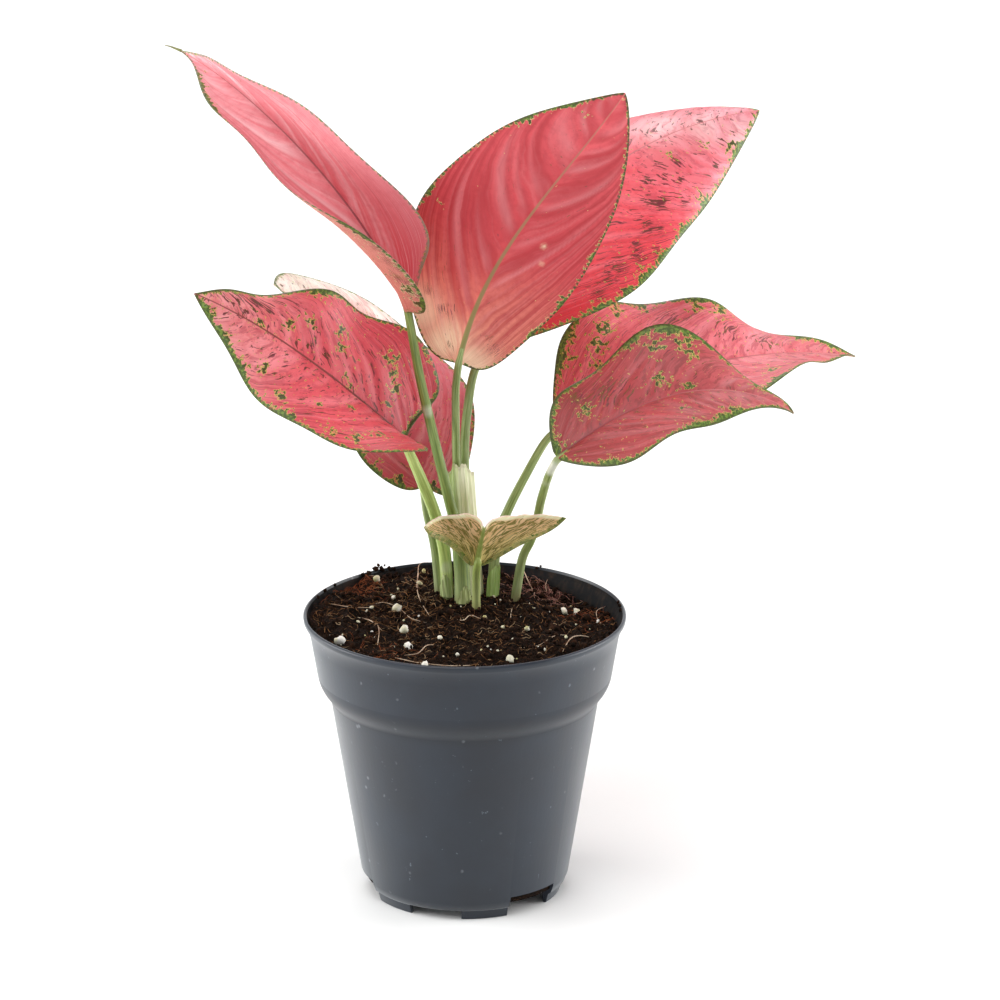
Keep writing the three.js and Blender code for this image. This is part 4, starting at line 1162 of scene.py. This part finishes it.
def blade(name, leaf, seed):
    """One leaf blade, with what its two skins need to know at each place."""
    v, u, upper, lower, veins = blade_sheets(leaf)
    skins = [
        leaf_skin(f"leaf_{name}_{face}", look, seed) for face, look in zip(("upper", "under"), LOOKS[name])
    ]
    mesh = sheet_piece("leaf_" + name, upper, lower, skins, ["blade_" + name])
    across = blade_width(leaf, v, u)
    put_uv(mesh, "vein_mm", both_sheets(vein_share(leaf, v, u) * leaf["length"]), both_sheets(across))
    put_uv(mesh, "leaf_mm", both_sheets(across), both_sheets(v * leaf["length"]))
    values = {
        "along": v,
        "margin_mm": margin_distance(leaf, v, u),
        "vein": veins,
        "rib": np.abs(across) / (0.2 + 0.45 * (1 - v)),
    }
    for key in ("green", "dark", "pale"):
        values[key] = near_marks(leaf, v, u, MARKS[name].get(key, []))
    if "cut" in leaf:
        values["pale"] = np.clip(CUT_RIM - (v[-1] - v) * leaf["length"], 0, 1)
        values["dark"] = -2 * values["pale"]
    for key, shares in values.items():
        put_value(mesh, key, both_sheets(shares))


for seed, (name, leaf) in enumerate(LEAVES.items()):
    blade(name, leaf, seed + 1)

# Stalks: round juicy petioles, green with paler lengthwise streaks. Each rises from the crown in the
# peat and runs on under the base of its blade, where it becomes the midrib.
STALK_SIDES = 24
STALK_STEP = 2.0
STALK_DEPTH_IN_PEAT = 2.5
# The heights where a stalk's foot starts to pale and to brown, how slowly it does, and the most
PALE_FOOT = (126, 120, 0.12)
BROWN_FOOT = (110, 12, 0.45)
# Where the stalk runs on under its blade, as shares of the blade's length, and how far below it
UNDER_BLADE = (0.0, 0.012, 0.03, 0.055)
BELOW_BLADE = (0.9, 1.1, 0.9, 0.6)
# The lighter and the darker tone of each stalk
STALK_TONES = {
    "upper_left": ("#8a9c52", "#5b7230"),
    "left": ("#cbdc86", "#94ae56"),
    "right_front": ("#a3b072", "#738740"),
    "right_rear": ("#9eae6d", "#6e8342"),
    "trimmed_front": ("#a8b35f", "#7d8f42"),
}
OTHER_STALK_TONES = ("#9cab70", "#6b7f40")
# What lies over the streaks where the mesh says so
STALK_MARKS = {"scar_and_highlight": "#e4e5d4", "green": "#85a04a", "brown": "#6e3a2c"}
# Pale corky scars on the stalks, and one painted highlight: x, y, z, the size across and how pale
SCARS_AND_HIGHLIGHT = {
    "upper_left": [(-13.6, 3.4, 186, 5, 0.35)],
    # On the right front stalk the first, large patch just under the blade is a painted highlight.
    "right_front": [(32.6, 6.8, 163, 9, 0.9), (30.6, 11.5, 156.5, 4, 0.6)],
    "left": [(-6.9, 22.0, 118, 5, 0.3)],
}


def petiole_skin(name, light, dark, seed):
    """Stalk skin: thin and a little glossy, with fine lengthwise streaks."""
    material, tree, surface = fresh_material(name, {"Roughness": 0.42})
    inputs = {0: node(tree, "UVMap", {}, uv_map="stalk_mm"), 1: (1.6, 0.07, 1)}
    inputs = {0: node(tree, "VectorMath", inputs, operation="MULTIPLY"), 1: (seed * 11.0, seed * 7.0, 0)}
    moved = node(tree, "VectorMath", inputs, operation="ADD")
    values = {"streaks": node(tree, "TexNoise", {"Vector": moved, "Scale": 1, "Detail": 3})}
    for key in STALK_MARKS:
        values[key] = node(tree, "Attribute", {}, attribute_name=key).outputs["Fac"]
    steps = [("lighter", "streaks", 0.35, 0.68)]
    colour = layered(tree, values, steps, [("lighter", light), *STALK_MARKS.items()], srgb(dark))
    bump = node(tree, "Bump", {"Height": values["streaks"], "Strength": 0.3, "Distance": 0.2 * MM})
    wire(tree, surface, {"Base Color": colour, "Normal": bump})
    return material


def stalk(name, leaf, seed):
    """One stalk, from inside the peat to where it runs out under its blade."""
    foot = np.array([*leaf["foot"], float(soil_top(*leaf["foot"])) - STALK_DEPTH_IN_PEAT])
    points, _, _, above = midrib(leaf, np.array(UNDER_BLADE))
    under = points - above * np.array(BELOW_BLADE)[:, None]
    line = smooth_route([foot, *leaf["route"], *under], STALK_STEP)
    share = np.linspace(0, 1, len(line))
    radii = np.interp(share, np.linspace(0, 0.95, len(leaf["radii"])), leaf["radii"])
    radii *= np.interp(share, [0.94, 1], [1, 0.45])
    vertices, faces = tube(line, radii, STALK_SIDES)
    skin = petiole_skin("petiole_" + name, *STALK_TONES.get(name, OTHER_STALK_TONES), seed)
    piece = mesh_piece("petiole_" + name, placed(vertices), faces, skin, ["stalk_" + name])
    scar_and_highlight, brown = (
        np.clip((top - vertices[:, 2]) / reach, 0, most) for top, reach, most in (PALE_FOOT, BROWN_FOOT)
    )
    # The scars, and the painted highlight on the right front stalk, pale the skin round their points.
    for x, y, z, across, most in SCARS_AND_HIGHLIGHT.get(name, []):
        away = np.linalg.norm(vertices - (x, y, z), axis=1)
        scar_and_highlight = np.maximum(scar_and_highlight, np.clip(2.2 - 2.2 * away / (across / 2), 0, most))
    put_value(piece.data, "scar_and_highlight", scar_and_highlight)
    put_value(piece.data, "brown", brown)
    turn = np.tile(np.arange(STALK_SIDES) * 2 * math.pi / STALK_SIDES * 2, len(line))
    put_uv(piece.data, "stalk_mm", turn, np.repeat(share * len(line) * STALK_STEP, STALK_SIDES))


for seed, (name, leaf) in enumerate(LEAVES.items()):
    stalk(name, leaf, seed + 1)

# Peat round the crown: crumbs heaped against the foot of each stalk, where the peat was pressed up by
# hand when the plant was potted. They are of the same damp peat as the crumbs on the rest of the top.
CROWN_CRUMBS = 22
CROWN_REACH = (1.6, 4.6)
CROWN_SIZES = (0.9, 2.3)
crown_spots, crown_sizes = [], []
for leaf in LEAVES.values():
    for _ in range(CROWN_CRUMBS):
        turn, away, size = random.uniform(*zip((0, 2 * math.pi), CROWN_REACH, CROWN_SIZES))
        x, y = leaf["foot"][0] + away * math.sin(turn), leaf["foot"][1] - away * math.cos(turn)
        crown_spots.append((x, y, soil_height(x, y) + 0.35 * size))
        crown_sizes.append(size)
crown_mesh = lumps(np.array(crown_spots), crown_sizes, 1, 0.3)
mesh_piece("peat_round_stalks", placed(crown_mesh[0]), crown_mesh[1], crumb_skin)

# Dried tail: the upper left leaf ends in a dead tip, drawn out into a thin thread. It is the leaf's own
# tissue, gone brown and matt, and it carries straight on from the blade.
TAIL = [(-104.6, 52.0, 309.8), (-106.8, 53.4, 310.3), (-109.0, 54.0, 311.0), (-110.8, 54.2, 311.3)]
tail_line = smooth_route(TAIL, 0.5)
tail_vertices, tail_faces = tube(tail_line, np.linspace(0.6, 0.15, len(tail_line)), 8)
tail_skin = plain_fibre("dried_leaf_tip", "#7d7f52", "#a39a70", 0.6, 3 * MM)
mesh_piece("dried_tail", placed(tail_vertices), tail_faces, tail_skin)

# Sheaths: thin papery leaf sheaths and one scale round the foot of the stalks, pale greenish cream
# with lengthwise veins. Each stands open at one side and its top is torn into ragged points.
SHEATH_ROWS = 60
SHEATH_COLUMNS = 72
# foot and head of the axis, radii there, the arc covered in degrees, thickness, depth of the tear, tones
SHEATHS = {
    "crown_sheath": (
        (1.7, 27.8, 106.3), (-1.9, 23.4, 160), (5.0, 4.6), (-115, 115), 0.5, 12, ("#f4f4d6", "#c6ce98"),
    ),
    "torn_sheath_left": (
        (-6.3, 25.5, 106.3), (-6.9, 23.9, 116), (3.1, 3.2), (-60, 35), 0.4, 5, ("#c9d39b", "#93a765"),
    ),
    "sheath_right": (
        (9.8, 27, 106.0), (10.6, 27.5, 118), (2.7, 2.6), (-40, 110), 0.4, 4, ("#b9d187", "#87a650"),
    ),
    "bud_scale": (
        (-0.6, 18.6, 106.3), (-0.7, 18.2, 113), (3.7, 3.3), (-30, 60), 0.4, 5, ("#bcc48e", "#8f9a5c"),
    ),
}


def sheath(name, numbers, seed):
    """One sheath, part of a leaning tube with folds, torn along its top."""
    foot, head, radii, arc, thickness, tear, tones = numbers
    turn, rise = np.meshgrid(
        np.radians(np.linspace(*arc, SHEATH_COLUMNS)), np.linspace(0, 1, SHEATH_ROWS), indexing="ij"
    )
    share = (turn - turn[0, 0]) / (turn[-1, 0] - turn[0, 0])
    length = np.linalg.norm(np.subtract(head, foot))
    ragged = 0.1 * np.sin(9 * share * np.pi) + 0.05 * np.sin(31 * share + seed) + 0.03 * np.sin(67 * share)
    height = rise * (1 - tear / length * (np.abs(2 * share - 1) ** 2 + ragged))
    axis = np.array(foot) + (np.array(head) - foot) * height[..., None]
    folds = 0.12 * np.sin(13 * turn + seed + 2 * rise) + 0.35 * rise ** 6 * np.sin(5 * turn + seed)
    radius = radii[0] + (radii[1] - radii[0]) * height + folds
    way = np.stack([np.sin(turn), -np.cos(turn), 0 * turn], -1)
    thin = thickness * np.where(rise > 0.9, 0.6, 1)
    outer = axis + way * (radius + thin / 2)[..., None]
    inner = axis + way * (radius - thin / 2)[..., None]
    skin = petiole_skin("papery_" + name, *tones, seed)
    mesh = sheet_piece("papery_" + name, outer, inner, [skin], [name])
    browned = np.clip((share - 0.955) / 0.03, 0, 0.85) + np.clip((rise - 0.965) / 0.03, 0, 0.3)
    put_value(mesh, "brown", both_sheets(np.minimum(browned, 0.85)))
    greener = np.clip((0.46 - share) / 0.12, 0, 0.8) if name == "crown_sheath" else 0 * share
    put_value(mesh, "green", both_sheets(greener))
    put_uv(mesh, "stalk_mm", both_sheets(turn * radius) * 1.2, both_sheets(height * length))


for seed, (name, numbers) in enumerate(SHEATHS.items()):
    sheath(name, numbers, seed + 20)
